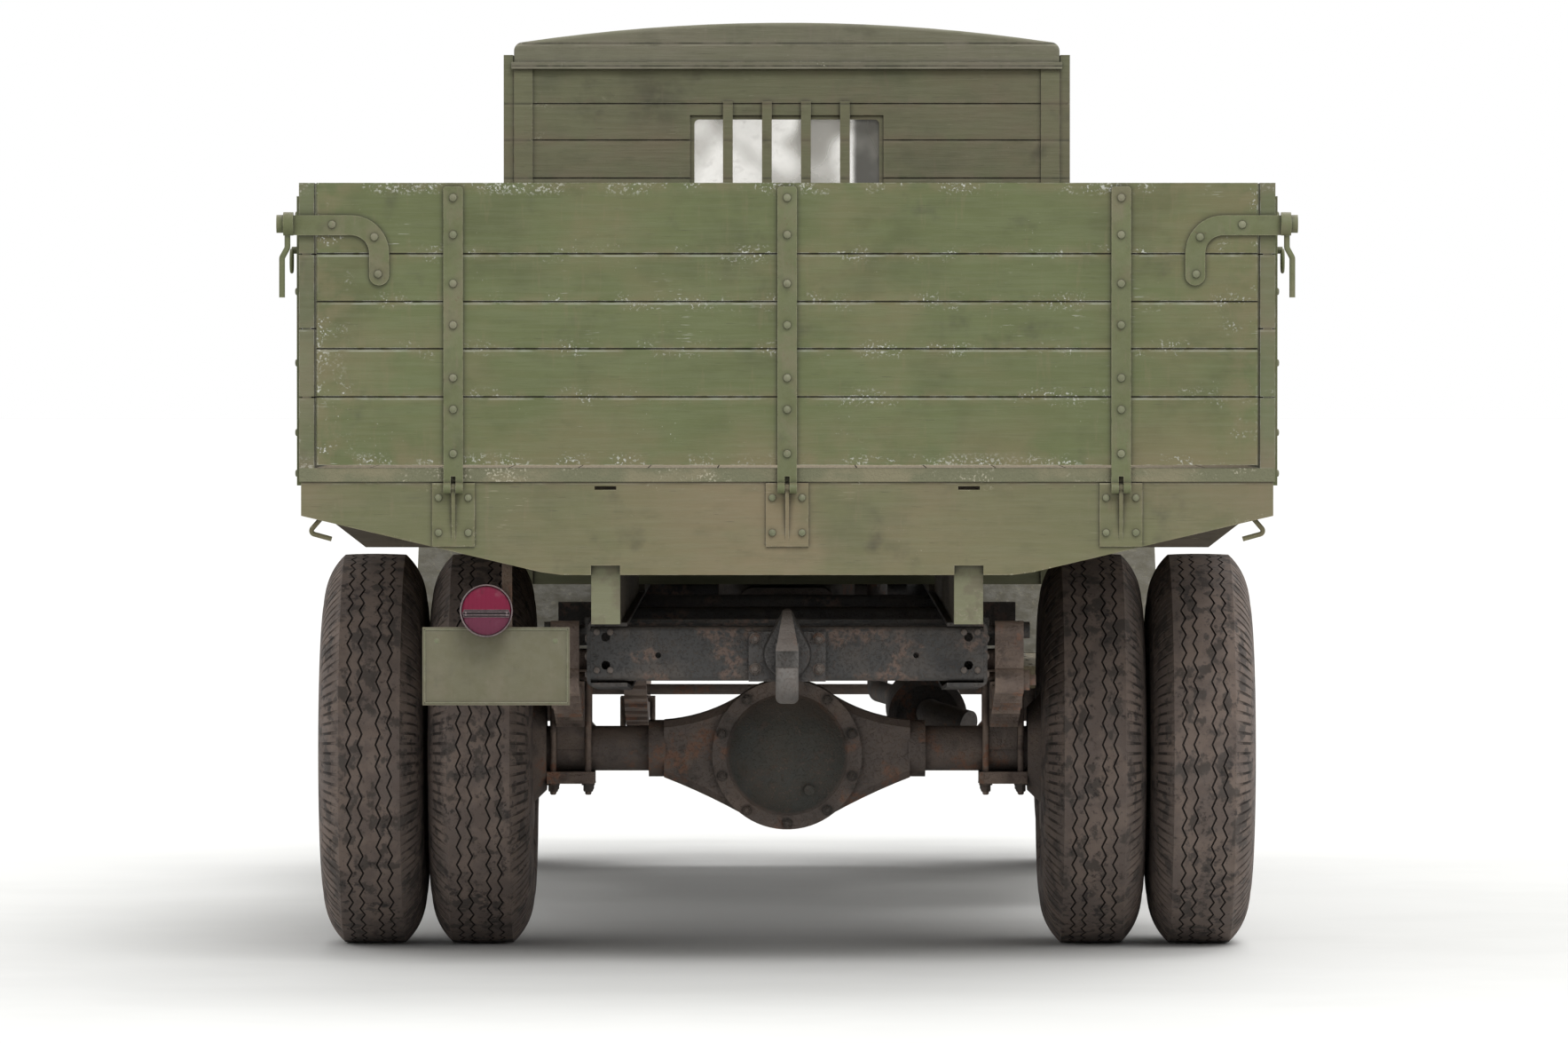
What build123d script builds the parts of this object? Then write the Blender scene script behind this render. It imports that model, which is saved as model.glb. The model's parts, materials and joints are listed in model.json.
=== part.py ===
from build123d import *
import os
from math import asin, cos, radians, sin

# Military cargo truck, 3-ton 4x2, with a plank cab and a plank bed whose tailgate drops.
# Millimetres. +Y is forward, +Z is up, +X is the right-hand side seen from behind.
# The origin is on the ground, in the middle of the length and of the width.

# ---------------------------------------------------------------- layout along the truck
rear_axle_y = -1630
front_axle_y = 2180
wheel_centre_z = 455.7

# ---------------------------------------------------------------- clearances
seat_gap = 0.3          # between two bodies, or two pieces, that bear on each other
moving_gap = 5          # round doors, lids and the tailgate
axle_gap = 0.5          # between a spindle and the hub that turns on it

# ---------------------------------------------------------------- ladder frame
rail_outer_x = 447
rail_flange = 90
rail_web = 8
rail_top_z = 781
rail_rear_y = -2830
rail_front_y = front_axle_y + 750
rail_rear_bottom_z = 639
rail_mid_bottom_z = 606
rail_kick_rear_y = -2050
rail_kick_front_y = front_axle_y - 680
rail_front_neck_y = front_axle_y + 120
rail_front_neck_z = 640
rail_horn_bottom_z = 600
rail_horn_top_z = 690
rail_drop_start_y = front_axle_y + 420
rail_corner_r = 14
crossmember_flange = 70
crossmember_plate = 8
crossmember_bend_r = 12
# place of each crossmember's web, its lower and upper edge, and the way its flanges point
crossmember_table = (
    # web_y, bottom_z, top_z, flange_side
    (rail_rear_y, 651, 773, 1),
    (-2130, 650, 773, -1),
    (-1080, 640, 773, 1),
    (150, 650, 773, 1),
    (front_axle_y + 50, 660, 760, 1),
)
tow_hole_x = 405
tow_hole_z = (686, 749)
tow_hole_r = 10
chain_hole_x = 288
chain_hole_z = 708
chain_hole_r = 6.5

# ---------------------------------------------------------------- rear springs, outside the rails
rear_spring_x = 506
rear_spring_width = 65
rear_spring_half = 720
rear_leaf_count = 11
rear_leaf_thick = 9.5
rear_spring_seat_z = 510
rear_spring_rise = 5
rear_eye_r = 31
eye_pin_r = 12
eye_pin_head_r = 19
eye_pin_head = 14
rear_eye_z = 638
rear_hanger_pin_z = 752
shackle_boss_r = 21
shackle_body_half = 15
hanger_plate = 12
hanger_plate_half = 42
u_bolt_r = 7.5
u_bolt_x = 41                    # from the spring's centre line
u_bolt_y = 63
u_bolt_top_z = rear_spring_seat_z + rear_leaf_count * rear_leaf_thick + 2 * u_bolt_r - 1
spring_plate_width = 112
spring_plate_z = (375, 402.9)
hanger_half = 30
spring_clip_reach = 380          # from the axle to the clip round the longer leaves
spring_clip_width = 26
spring_clip_thick = 5

# ---------------------------------------------------------------- front springs, under the rails
front_spring_x = 402
front_spring_width = 60
front_spring_half = 700
front_leaf_count = 8
front_leaf_thick = 8
front_spring_seat_z = 375
front_spring_rise = 125
front_eye_z = 575
front_eye_r = 24
front_cheek = 12
front_u_bolt_x = 40
front_u_bolt_y = 45
front_u_bolt_r = 7
front_u_bolt_top_z = front_spring_seat_z + front_leaf_count * front_leaf_thick + 2 * front_u_bolt_r - 1
front_seat_half = 36

# ---------------------------------------------------------------- front axle and steering
front_beam_z = (295, 365)
front_beam_depth = 60
front_beam_flange = 14
front_beam_web = 16
kingpin_x = 650
kingpin_r = 14
axle_eye_r = 36
axle_eye_z = (420, 490)
knuckle_ear_r = 32
knuckle_ear_z = (386, 525)
knuckle_web_x = (688, 704)
knuckle_web_half = 34
spindle_r = 25
spindle_end_x = 838
front_shield_x = 704
front_shield_thick = 4
front_shield_r = 196
steer_arm_y = -180               # from the kingpin, straight back, so that the two arms stay parallel
steer_arm_r = 13
steer_arm_z = (430, 440)         # at its root and at its eye
tie_rod_z = 477
tie_rod_r = 14
tie_eye_r = 19
tie_eye_half = 15
tie_pin_r = 7

# ---------------------------------------------------------------- rear axle
axle_tube_r = 52.5
axle_tube_end_x = 594
axle_collar_r = 66.5
axle_collar_x = (288, 324)
rear_spindle_r = 38
rear_spindle_end_x = 856
rear_shield_x = 600
rear_shield_thick = 6
rear_shield_r = 190
axle_flange_x = (563, 594)       # the cone that widens to the brake's shield
axle_flange_r = (98, 128)
banjo_r = 175
banjo_centre_z = 443
banjo_half = 62
banjo_ring_depth = 12
banjo_tangent = 52               # degrees, where the ring runs out into the arm
banjo_flare_x = 165
banjo_flare_z = 108
banjo_edge = 16
banjo_cover_r = 142.5
banjo_cover_depth = 52
filler_x = 52
filler_z = 362
filler_r = 12
filler_reach = 62
pinion_nose_y = -1290
pinion_nose_r = 60
pinion_root_r = 118
pinion_z = 468
spring_seat_half = 60

# ---------------------------------------------------------------- wheels and tyres
tyre_r = 456
tread_half = 71
shoulder_half = 100
shoulder_r = 358
wall_half = 122
wall_r = 312
wall_low_half = 114
wall_low_r = 283
wall_high_half = 117
wall_high_r = 338
tread_edge_r = 454
bead_half = 95
bead_gap = 1                     # between the tyre's foot and the rim's flange
bead_r = 254.3
bead_lip_r = 269.5
rim_seat_r = 254
rim_thick = 8
rim_flange_r = 268
rim_flange_thick = 6
front_wheel_x = 795
rear_inner_x = 711.5
rear_outer_x = 963.5
disc_thick = 9
disc_flat_r = 150
hub_r = 62
hub_cap_r = 48
drum_r = 200
drum_wall = 8
hand_hole_r = 26
hand_hole_ring = 197
hand_hole_count = 6
front_drum_x = (714, 800)
front_disc_x = 826
front_hub_x = (716, 900)
rear_drum_x = (604, 740)
rear_hub_x = (604, 1010)

# ---------------------------------------------------------------- engine, gearbox and shaft
engine_half = 180
engine_y = (1312, 2100)
engine_z = (640, 1330)
sump_half = 120
sump_low_z = 560
bell_top_z = 822
bell_rear_y = 1130
housing_corner_r = 40
gearbox_half = 125
gearbox_rear_y = 800
gearbox_y = (660, 1312)
gearbox_z = (560, 776)
mount_arm_y = (1330, 2010)
mount_arm_depth = 50
mount_arm_thick = 26
mount_arm_end_x = 430
shaft_r = 34
shaft_yoke_r = 46
shaft_yoke_length = 70
shaft_front_z = 610

# ---------------------------------------------------------------- exhaust
muffler_x = 340
muffler_z = 505
muffler_r = 95
muffler_y = (-900, -180)
muffler_disc_r = 76
muffler_recess = 12
exhaust_pipe_r = 27
front_pipe_x = engine_half + 60
front_pipe_y = (1100, 1560, 1640)
front_pipe_z = (500, 900)
pipe_bend_r = 60
tail_pipe_r = 34
tail_pipe_x = 346
tail_pipe_z = 513
muffler_strap_x = (380, 400)
muffler_strap_y = (-760, -320)

# ---------------------------------------------------------------- radiator and bonnet
radiator_half = 328
radiator_y = (2214, 2330)
radiator_z = (760, 1462)
radiator_corner_r = 90
radiator_edge_r = 12
core_half = 272
core_z = (836, 1340)
core_recess = 22
core_bar = 9
core_bar_count = 7
filler_neck = 34
filler_neck_r = 30
bonnet_rear_half = 440
bonnet_y = (1306, 2209)
bonnet_top_z = 1450
bonnet_low_z = 1000
bonnet_corner_r = 95
bonnet_sheet = 3
bonnet_hinge_z = 1452
bonnet_pin_r = 5
bonnet_knuckle_r = 9
bonnet_knuckle_count = 6         # shared out in turn between the two halves
louvre_count = 13
louvre_start_y = 1420
louvre_pitch = 52
louvre_width = 14
louvre_z = (1090, 1270)

# ---------------------------------------------------------------- cab
cab_half = 687
cab_skin_x = 711
cab_rear_y = 160
cab_plank = 25
cab_post = 47
cab_floor_z = (800, 830)
cab_wall_low_z = 800
roof_skirt_z = 2101
header_top_z = 2129
roof_half = 685
roof_corner_z = 2158
roof_crown_z = 2210
roof_corner_r = 22
roof_edge_r = 10
drip_z = (2094, 2111)
drip_proud = 6
roof_y = (150, 1235)
roof_thick = 22
screen_y = (1120, 1160)
screen_low_z = 1480
screen_high_z = 2046
rear_window_half = 243
rear_window_z = (1640, 1978)
cab_joints_z = (2007, 1915.5, 1820, 1724, 1628, 1532, 1436, 1340, 1244, 1148, 1052, 956)
cab_joint_depth = 5
cab_post_inner_x = 638
cab_post_proud = 6
window_frame_y = (6, 12)         # from the wall's rear face
window_frame_width = 11
window_frame_r = 12
guard_bar_x = (-148, -50, 48, 146)
guard_bar_width = 24.5
guard_bar_depth = 10
guard_bar_z = (1606, 2012)
glass_thick = 5
door_y = (250, 1100)
door_z = (856, 2088)
door_thick = 19
door_hinge_x = 719
# lower end of each door hinge's knuckle and the length of its strap on the door
door_hinge_table = (
    # z, strap
    (1000, 170),
    (1450, 170),
    (1900, 78),
)
door_joints_z = (961, 1066, 1171, 1276, 1381, 1486)
door_joint_depth = 4
door_handle = (330, 1345)        # y and z
door_handle_stand = 30
door_lever_length = 105
door_lever_r = 7
door_post_r = 9
door_post_end = 10          # past the middle of the lever
door_knuckle_r = 6
door_knuckle_length = 34
door_strap_thick = 5
door_window_y = (340, 1010)
door_window_z = (1600, 1985)
cowl_y = (1165, 1303)
cowl_low_z = 830
cowl_sheet = 5
cowl_front_corner_r = 95
cowl_rear_corner_r = 60
seat_y = (215, 690)
seat_z = (1130, 1250)
seat_half = 600
seat_box_low_z = 830
seat_back_z = (1262, 1700)
seat_back_y = (cab_rear_y + cab_plank + seat_gap, 290)
steering_wheel_centre = (-330, 850, 1480)
steering_wheel_r = 225
steering_rim_r = 13
steering_column_r = 22
steering_foot = (-330, 1262, 870)

# ---------------------------------------------------------------- running boards, fenders, nose
board_x = (560, 950)
board_y = (300, 1440)
board_z = (560, 590)
board_plank_count = 3
board_bracket_y = (430, 1290)
fender_x = (rail_outer_x, 980)
fender_apron_low_z = 735
fender_sheet = 4
fender_lip = 26
fender_path = ((2740, 700), (2470, 985), (1900, 985), (1444, 590))
bumper_half = 870
bumper_y = (2986, 3030)
bumper_z = (596, 706)
bumper_sheet = 6
bumper_arm_width = 46
bumper_arm_lap = 70
bumper_arm_z = (632, 670)
lamp_x = 600
lamp_y = 2400
lamp_z = 1105
lamp_r = 105
lamp_depth = 150

# ---------------------------------------------------------------- bed
bed_y = (-2995, 110)
bed_half = 1082
board_thick = 34
side_inner_x = bed_half - board_thick
bed_floor_z = (1098, 1128)
bed_top_z = 1760
side_joints_z = (1285, 1437, 1602)
joint_width = 3
joint_depth = 7
floor_plank_count = 14
floor_batten = 42                # the cross batten that closes the floor planks' rear ends
cross_bearer_z = (945, 1098)
cross_bearer_y = (-2560, -2050, -1210, -620, -110, 60)
cross_bearer_depth = 70
cross_bearer_high_half = bed_half - 22
cross_bearer_low_half = cross_bearer_high_half - 110
cross_bearer_end_z = 1030
long_bearer_x = (371, 435)
long_bearer_y = (-2962, 96)
long_bearer_lap_z = 912
iron_y = (-2860, -2050, -1210, -620, 60)
batten_width = 90
batten_thick = 22
batten_drop = 30
iron_width = 44
iron_thick = 10
iron_z = (1088, 1732)
iron_ring_drop = 120
iron_ring_r = 24
iron_ring_bar_r = 4
iron_ring_stand = 12
iron_ring_pin_r = 8
sill_y = (-2990, -2900)
sill_half = bed_half - 4
sill_top_z = 1098
sill_end_z = 1022
sill_knee_x = 545
sill_knee_z = 897
sill_flat_x = 500
sill_flat_z = 891
lash_hook_y = -2945
lash_hook_path = ((1037, 1014), (1063, 984), (1012, 970))
lash_hook_bend_r = 8
lash_hook_r = 5.5
sill_slot_x = 403
sill_slot = (48, 8)
sill_slot_z = 1084

# ---------------------------------------------------------------- tailgate
gate_half = side_inner_x - moving_gap
gate_y = (-3000, -2966)
gate_z = (1135, 1760)
gate_joints_z = (1286, 1392.5, 1497, 1603)
strap_x = (-740, 0, 740)
strap_width = 43
strap_thick = 8
strap_corner_r = 7
plank_bevel = 2.5
strap_top_z = 1752
gate_axis_y = -3012
gate_axis_z = 1084
knuckle_r = 12
gate_pin_r = 6
hinge_plate_width = 95
hinge_plate_z = (954, 1095)
hinge_plate_thick = 5
hinge_rib = 8
latch_thick = 7
latch_z = (1644, 1688)
latch_drop_in = 139              # from the gate's end to the middle of the bar's drop
latch_bend_r = 62
latch_end_z = 1555
latch_collar_x = (bed_half + 12, bed_half + 34)
latch_collar_r = 26
latch_collar_y = -3004
latch_collar_z = 1669
latch_nut_r = 20
latch_nut_end_x = bed_half + 49
handle_x = (bed_half + 25, bed_half + 37)
handle_jog_z = (1594, 1616)
handle_end_z = 1506
handle_bend_r = 12
handle_r = 6.5

# ---------------------------------------------------------------- tow hook
hook_plate_half = 86
hook_plate_z = (650, 761)
hook_plate_thick = 12
hook_boss_r = 54.5
hook_boss_z = 711
hook_boss_depth = 20
hook_width = 51
hook_shank_lap = 2               # how far the shank sinks into the boss
hook_centre_z = 662
hook_outer_r = 59
hook_inner_r = 21
hook_nose_z = 684
hook_shank_z = 736
hook_edge_r = 14
keeper_low_z = 722
keeper_pin_z = 800
keeper_top_half = 9
keeper_depth = 62

# ---------------------------------------------------------------- tail lamp and blank number plate
tail_lamp_x = -668
tail_lamp_z = 811
tail_lamp_r = 59
tail_lamp_y = (-2962, -2903)
lamp_bar_x = (-635, -612)
plate_x = (-812, -484)
plate_z = (599, 773)

SIDES = (("left", -1), ("right", 1))


# ================================================================ helpers
def block(x, y, z, mode=Mode.ADD):
    """A box between two values along each axis."""
    with Locations(((x[0] + x[1]) / 2, (y[0] + y[1]) / 2, (z[0] + z[1]) / 2)):
        Box(abs(x[1] - x[0]), abs(y[1] - y[0]), abs(z[1] - z[0]), mode=mode)


def rod(start, end, radius, mode=Mode.ADD):
    """A round bar from one point to another."""
    run = Vector(*end) - Vector(*start)
    with Locations(Plane(origin=start, z_dir=run)):
        Cylinder(radius, run.length, align=(Align.CENTER, Align.CENTER, Align.MIN), mode=mode)


def slab(plane, points, thickness, mode=Mode.ADD):
    """A flat outline on a plane, given a thickness along the plane's normal."""
    with BuildSketch(plane) as shape:
        with BuildLine():
            Polyline(*points, close=True)
        make_face()
    extrude(shape.sketch, amount=thickness, mode=mode)


def span(centre, width):
    """The two ends of a width laid out about its centre."""
    return (centre - width / 2, centre + width / 2)


def lathe(points, mode=Mode.ADD):
    """A ring turned about the axle line from (distance along the axle, radius) points."""
    with BuildSketch(Plane.XY) as shape:
        with BuildLine():
            Polyline(*points, close=True)
        make_face()
    revolve(shape.sketch, axis=Axis.X, mode=mode)


def across(y):
    """The upright plane across the truck at a place along it; sketches on it read as (x, z)."""
    return Plane(origin=(0, y, 0), x_dir=(1, 0, 0), z_dir=(0, -1, 0))


def save(piece, name):
    """Label a finished sub-part and write it as a STEP file."""
    piece.part.label = name
    export_step(piece.part, f"parts/{name}.step")


# ================================================================ ladder frame
def rail_profile(inset):
    """Side view of a rail, drawn a distance inside its outline."""
    low = inset
    return (
        (rail_rear_y - 1 if inset else rail_rear_y, rail_rear_bottom_z + low),
        (rail_kick_rear_y, rail_mid_bottom_z + low),
        (rail_kick_front_y, rail_mid_bottom_z + low),
        (rail_front_neck_y, rail_front_neck_z + low),
        (rail_front_y + 1 if inset else rail_front_y, rail_horn_bottom_z + low),
        (rail_front_y + 1 if inset else rail_front_y, rail_horn_top_z - low),
        (rail_drop_start_y, rail_top_z - low),
        (rail_rear_y - 1 if inset else rail_rear_y, rail_top_z - low),
    )


def spring_hanger_rear(y):
    """Plate riveted to the rail, with the headed pin that the shackle hangs from."""
    outer = rear_spring_x + rear_spring_width / 2 + seat_gap
    slab(
        Plane.YZ.offset(rail_outer_x),
        (
            (y - hanger_plate_half, rail_top_z), (y - hanger_plate_half, rail_top_z - 30),
            (y - eye_pin_head_r, rear_hanger_pin_z - 30), (y + eye_pin_head_r, rear_hanger_pin_z - 30),
            (y + hanger_plate_half, rail_top_z - 30), (y + hanger_plate_half, rail_top_z),
        ),
        hanger_plate,
    )
    rod((rail_outer_x, y, rear_hanger_pin_z), (outer, y, rear_hanger_pin_z), eye_pin_r)
    rod((outer, y, rear_hanger_pin_z), (outer + eye_pin_head, y, rear_hanger_pin_z), eye_pin_head_r)


def spring_hanger_front(y):
    """Two cheeks that carry the fixed eye of the rear spring."""
    inner = rear_spring_x - rear_spring_width / 2 - seat_gap
    outer = rear_spring_x + rear_spring_width / 2 + seat_gap
    low = rear_eye_z - eye_pin_r - 14
    roof_low = rear_eye_z + rear_eye_r + 8
    block((rail_outer_x, inner), span(y, 2 * hanger_half), (low, rail_top_z))
    block((outer, outer + front_cheek), span(y, 2 * hanger_half), (low, rail_top_z))
    block((rail_outer_x, outer + front_cheek), span(y, 2 * hanger_half), (roof_low, rail_top_z))


def front_spring_cheeks(y, top):
    """Two cheeks under the rail that carry one eye of the front spring."""
    inner = front_spring_x - front_spring_width / 2 - seat_gap
    outer = front_spring_x + front_spring_width / 2 + seat_gap
    for x in ((inner - front_cheek, inner), (outer, outer + front_cheek)):
        block(x, span(y, 2 * front_eye_r), (front_eye_z - front_eye_r, top))


with BuildPart() as frame:
    slab(Plane.YZ.offset(rail_outer_x - rail_flange), rail_profile(0), rail_flange)
    slab(
        Plane.YZ.offset(rail_outer_x - rail_flange),
        rail_profile(rail_web),
        rail_flange - rail_web,
        mode=Mode.SUBTRACT,
    )
    long_edges = [
        edge for edge in frame.edges()
        if edge.length > 2 * rail_flange and edge.bounding_box().min.X > rail_outer_x - 0.1
    ]
    fillet(long_edges, radius=rail_corner_r)
    spring_hanger_rear(rear_axle_y - rear_spring_half)
    spring_hanger_front(rear_axle_y + rear_spring_half)
    front_spring_cheeks(front_axle_y + front_spring_half, rail_horn_bottom_z + rail_web)
    front_spring_cheeks(front_axle_y - front_spring_half, rail_mid_bottom_z + rail_web)
    mirror(about=Plane.YZ)
    reach = rail_outer_x - rail_web - seat_gap
    for web_y, low_z, high_z, way in crossmember_table:
        top_z = high_z - seat_gap
        with BuildSketch(Plane.YZ.offset(-reach)) as channel:
            with BuildLine():
                FilletPolyline(
                    (web_y + way * crossmember_flange, low_z), (web_y, low_z), (web_y, top_z),
                    (web_y + way * crossmember_flange, top_z), radius=crossmember_bend_r,
                )
                inner_r = crossmember_bend_r - crossmember_plate
                FilletPolyline(
                    (web_y + way * crossmember_flange, low_z + crossmember_plate),
                    (web_y + way * crossmember_plate, low_z + crossmember_plate),
                    (web_y + way * crossmember_plate, top_z - crossmember_plate),
                    (web_y + way * crossmember_flange, top_z - crossmember_plate), radius=inner_r,
                )
                for z in (low_z, top_z - crossmember_plate):
                    Line((web_y + way * crossmember_flange, z),
                         (web_y + way * crossmember_flange, z + crossmember_plate))
            make_face()
        extrude(channel.sketch, amount=2 * reach)
    for side in (-1, 1):
        for z in tow_hole_z:
            rod((side * tow_hole_x, rail_rear_y - 20, z), (side * tow_hole_x, rail_rear_y + 20, z),
                tow_hole_r, mode=Mode.SUBTRACT)
        rod((side * chain_hole_x, rail_rear_y - 20, chain_hole_z),
            (side * chain_hole_x, rail_rear_y + 20, chain_hole_z),
            chain_hole_r, mode=Mode.SUBTRACT)


# ================================================================ tow hook
hook_face_y = rail_rear_y - hook_plate_thick
hook_centre_y = hook_face_y - hook_boss_depth - hook_outer_r + hook_shank_lap

# the hook's bowl: open upwards, with a nose behind and a shank against the boss
with BuildPart() as hook_bowl:
    with BuildSketch(Plane.YZ.offset(-hook_width / 2)) as bowl:
        with Locations((hook_centre_y, hook_centre_z)):
            Circle(hook_outer_r)
            Circle(hook_inner_r, mode=Mode.SUBTRACT)
        with Locations((hook_centre_y, hook_centre_z + hook_outer_r)):
            Rectangle(2 * hook_outer_r, 2 * hook_outer_r, mode=Mode.SUBTRACT)
        nose_y = hook_centre_y - (hook_outer_r + hook_inner_r) / 2
        shank_y = hook_centre_y + (hook_outer_r + hook_inner_r) / 2
        with Locations((nose_y, (hook_centre_z + hook_nose_z) / 2)):
            Rectangle(hook_outer_r - hook_inner_r, hook_nose_z - hook_centre_z)
        with Locations((shank_y, (hook_centre_z + hook_shank_z) / 2)):
            Rectangle(hook_outer_r - hook_inner_r, hook_shank_z - hook_centre_z)
    extrude(bowl.sketch, amount=hook_width)
    hook_rims = [
        edge for edge in hook_bowl.edges().filter_by(GeomType.CIRCLE)
        if abs(edge.radius - hook_outer_r) < 0.1 and abs(abs(edge.center().X) - hook_width / 2) < 0.1
    ]
    fillet(hook_rims, radius=hook_edge_r)

with BuildPart() as tow_hook:
    block((-hook_plate_half, hook_plate_half), (hook_face_y, rail_rear_y), hook_plate_z)
    # drop-shaped boss that the hook and its keeper stand on
    with BuildSketch(across(hook_face_y)) as boss:
        with Locations((0, hook_boss_z)):
            Circle(hook_boss_r)
        with Locations((0, keeper_pin_z)):
            Circle(keeper_top_half + 4)
        make_hull()
    extrude(boss.sketch, amount=hook_boss_depth, taper=12)
    add(hook_bowl.part)
    # the keeper over the hook's mouth, tapering up to its pin
    with BuildSketch(Plane.XY.offset(keeper_low_z)) as keeper_foot:
        with Locations((0, hook_centre_y - keeper_depth / 2)):
            Rectangle(hook_width, keeper_depth)
    with BuildSketch(Plane.XY.offset(keeper_pin_z + keeper_top_half)) as keeper_head:
        with Locations((0, hook_face_y - hook_boss_depth)):
            Rectangle(2 * keeper_top_half, 2 * keeper_top_half)
    loft((keeper_foot.sketch.faces()[0], keeper_head.sketch.faces()[0]))


# ================================================================ leaf springs
def leaf_pack(x, y, seat_z, half, rise, count, thick, width):
    """A stack of curved leaves, each shorter than the one above it."""
    top_z = seat_z + count * thick
    radius = (half ** 2 + rise ** 2) / (2 * rise)
    for number in range(count):
        inner = radius + number * thick
        outer = inner + thick
        reach = half * (1 - 0.9 * number / count) if number else half
        turn = asin(reach / inner)
        centre_z = top_z + radius
        with BuildSketch(Plane.YZ.offset(x - width / 2)) as leaf:
            with BuildLine():
                ThreePointArc(
                    (y - inner * sin(turn), centre_z - inner * cos(turn)),
                    (y, centre_z - inner),
                    (y + inner * sin(turn), centre_z - inner * cos(turn)),
                )
                Line(
                    (y + inner * sin(turn), centre_z - inner * cos(turn)),
                    (y + outer * sin(turn), centre_z - outer * cos(turn)),
                )
                ThreePointArc(
                    (y + outer * sin(turn), centre_z - outer * cos(turn)),
                    (y, centre_z - outer),
                    (y - outer * sin(turn), centre_z - outer * cos(turn)),
                )
                Line(
                    (y - outer * sin(turn), centre_z - outer * cos(turn)),
                    (y - inner * sin(turn), centre_z - inner * cos(turn)),
                )
            make_face()
        extrude(leaf.sketch, amount=width)


def spring_eye(x, y, z, width, radius):
    """A rolled eye at a spring's end."""
    rod((x - width / 2, y, z), (x + width / 2, y, z), radius)


def spring_clip(x, y, seat_z, thick, count, width):
    """A bent strap round the longer leaves."""
    low_z = seat_z + thick * count * 0.5
    high_z = seat_z + thick * count + 9
    block(span(x, width + 2 * spring_clip_thick), span(y, spring_clip_width), (low_z, high_z))


with BuildPart() as rear_springs:
    leaf_pack(rear_spring_x, rear_axle_y, rear_spring_seat_z, rear_spring_half,
              rear_spring_rise, rear_leaf_count, rear_leaf_thick, rear_spring_width)
    for y in (rear_axle_y - rear_spring_half, rear_axle_y + rear_spring_half):
        spring_eye(rear_spring_x, y, rear_eye_z, rear_spring_width, rear_eye_r)
    for y in (rear_axle_y - spring_clip_reach, rear_axle_y + spring_clip_reach):
        spring_clip(rear_spring_x, y, rear_spring_seat_z, rear_leaf_thick, rear_leaf_count,
                    rear_spring_width)
    # the shackle casting: a body between the spring's eye and the boss on the hanger's pin
    shackle_y = rear_axle_y - rear_spring_half
    shackle_x = span(rear_spring_x, rear_spring_width)
    block(shackle_x, span(shackle_y, 2 * shackle_body_half), (rear_eye_z, rear_hanger_pin_z))
    rod((shackle_x[0], shackle_y, rear_hanger_pin_z), (shackle_x[1], shackle_y, rear_hanger_pin_z),
        shackle_boss_r)
    rod((shackle_x[0] - 2, shackle_y, rear_hanger_pin_z), (shackle_x[1] + 2, shackle_y, rear_hanger_pin_z),
        eye_pin_r + seat_gap, mode=Mode.SUBTRACT)
    rod((shackle_x[1], shackle_y, rear_eye_z), (shackle_x[1] + eye_pin_head, shackle_y, rear_eye_z),
        eye_pin_head_r + 4)
    rod((shackle_x[1], shackle_y, rear_eye_z), (shackle_x[1] + 2 * eye_pin_head, shackle_y, rear_eye_z),
        eye_pin_r)
    block(span(rear_spring_x, spring_plate_width), span(rear_axle_y, 2 * u_bolt_y + 30), spring_plate_z)
    for dx in (-u_bolt_x, u_bolt_x):
        for dy in (-u_bolt_y, u_bolt_y):
            rod((rear_spring_x + dx, rear_axle_y + dy, spring_plate_z[0] - 24),
                (rear_spring_x + dx, rear_axle_y + dy, u_bolt_top_z), u_bolt_r)
    for dy in (-u_bolt_y, u_bolt_y):
        rod((rear_spring_x - u_bolt_x, rear_axle_y + dy, u_bolt_top_z - u_bolt_r),
            (rear_spring_x + u_bolt_x, rear_axle_y + dy, u_bolt_top_z - u_bolt_r), u_bolt_r)
    mirror(about=Plane.YZ)

with BuildPart() as front_springs:
    leaf_pack(front_spring_x, front_axle_y, front_spring_seat_z, front_spring_half,
              front_spring_rise, front_leaf_count, front_leaf_thick, front_spring_width)
    for y in (front_axle_y - front_spring_half, front_axle_y + front_spring_half):
        spring_eye(front_spring_x, y, front_eye_z, front_spring_width, front_eye_r)
    for dx in (-front_u_bolt_x, front_u_bolt_x):
        for dy in (-front_u_bolt_y, front_u_bolt_y):
            rod((front_spring_x + dx, front_axle_y + dy, front_beam_z[0] - 22),
                (front_spring_x + dx, front_axle_y + dy, front_u_bolt_top_z), front_u_bolt_r)
    for dy in (-front_u_bolt_y, front_u_bolt_y):
        rod((front_spring_x - front_u_bolt_x, front_axle_y + dy, front_u_bolt_top_z - front_u_bolt_r),
            (front_spring_x + front_u_bolt_x, front_axle_y + dy, front_u_bolt_top_z - front_u_bolt_r),
            front_u_bolt_r)
    mirror(about=Plane.YZ)


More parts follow.
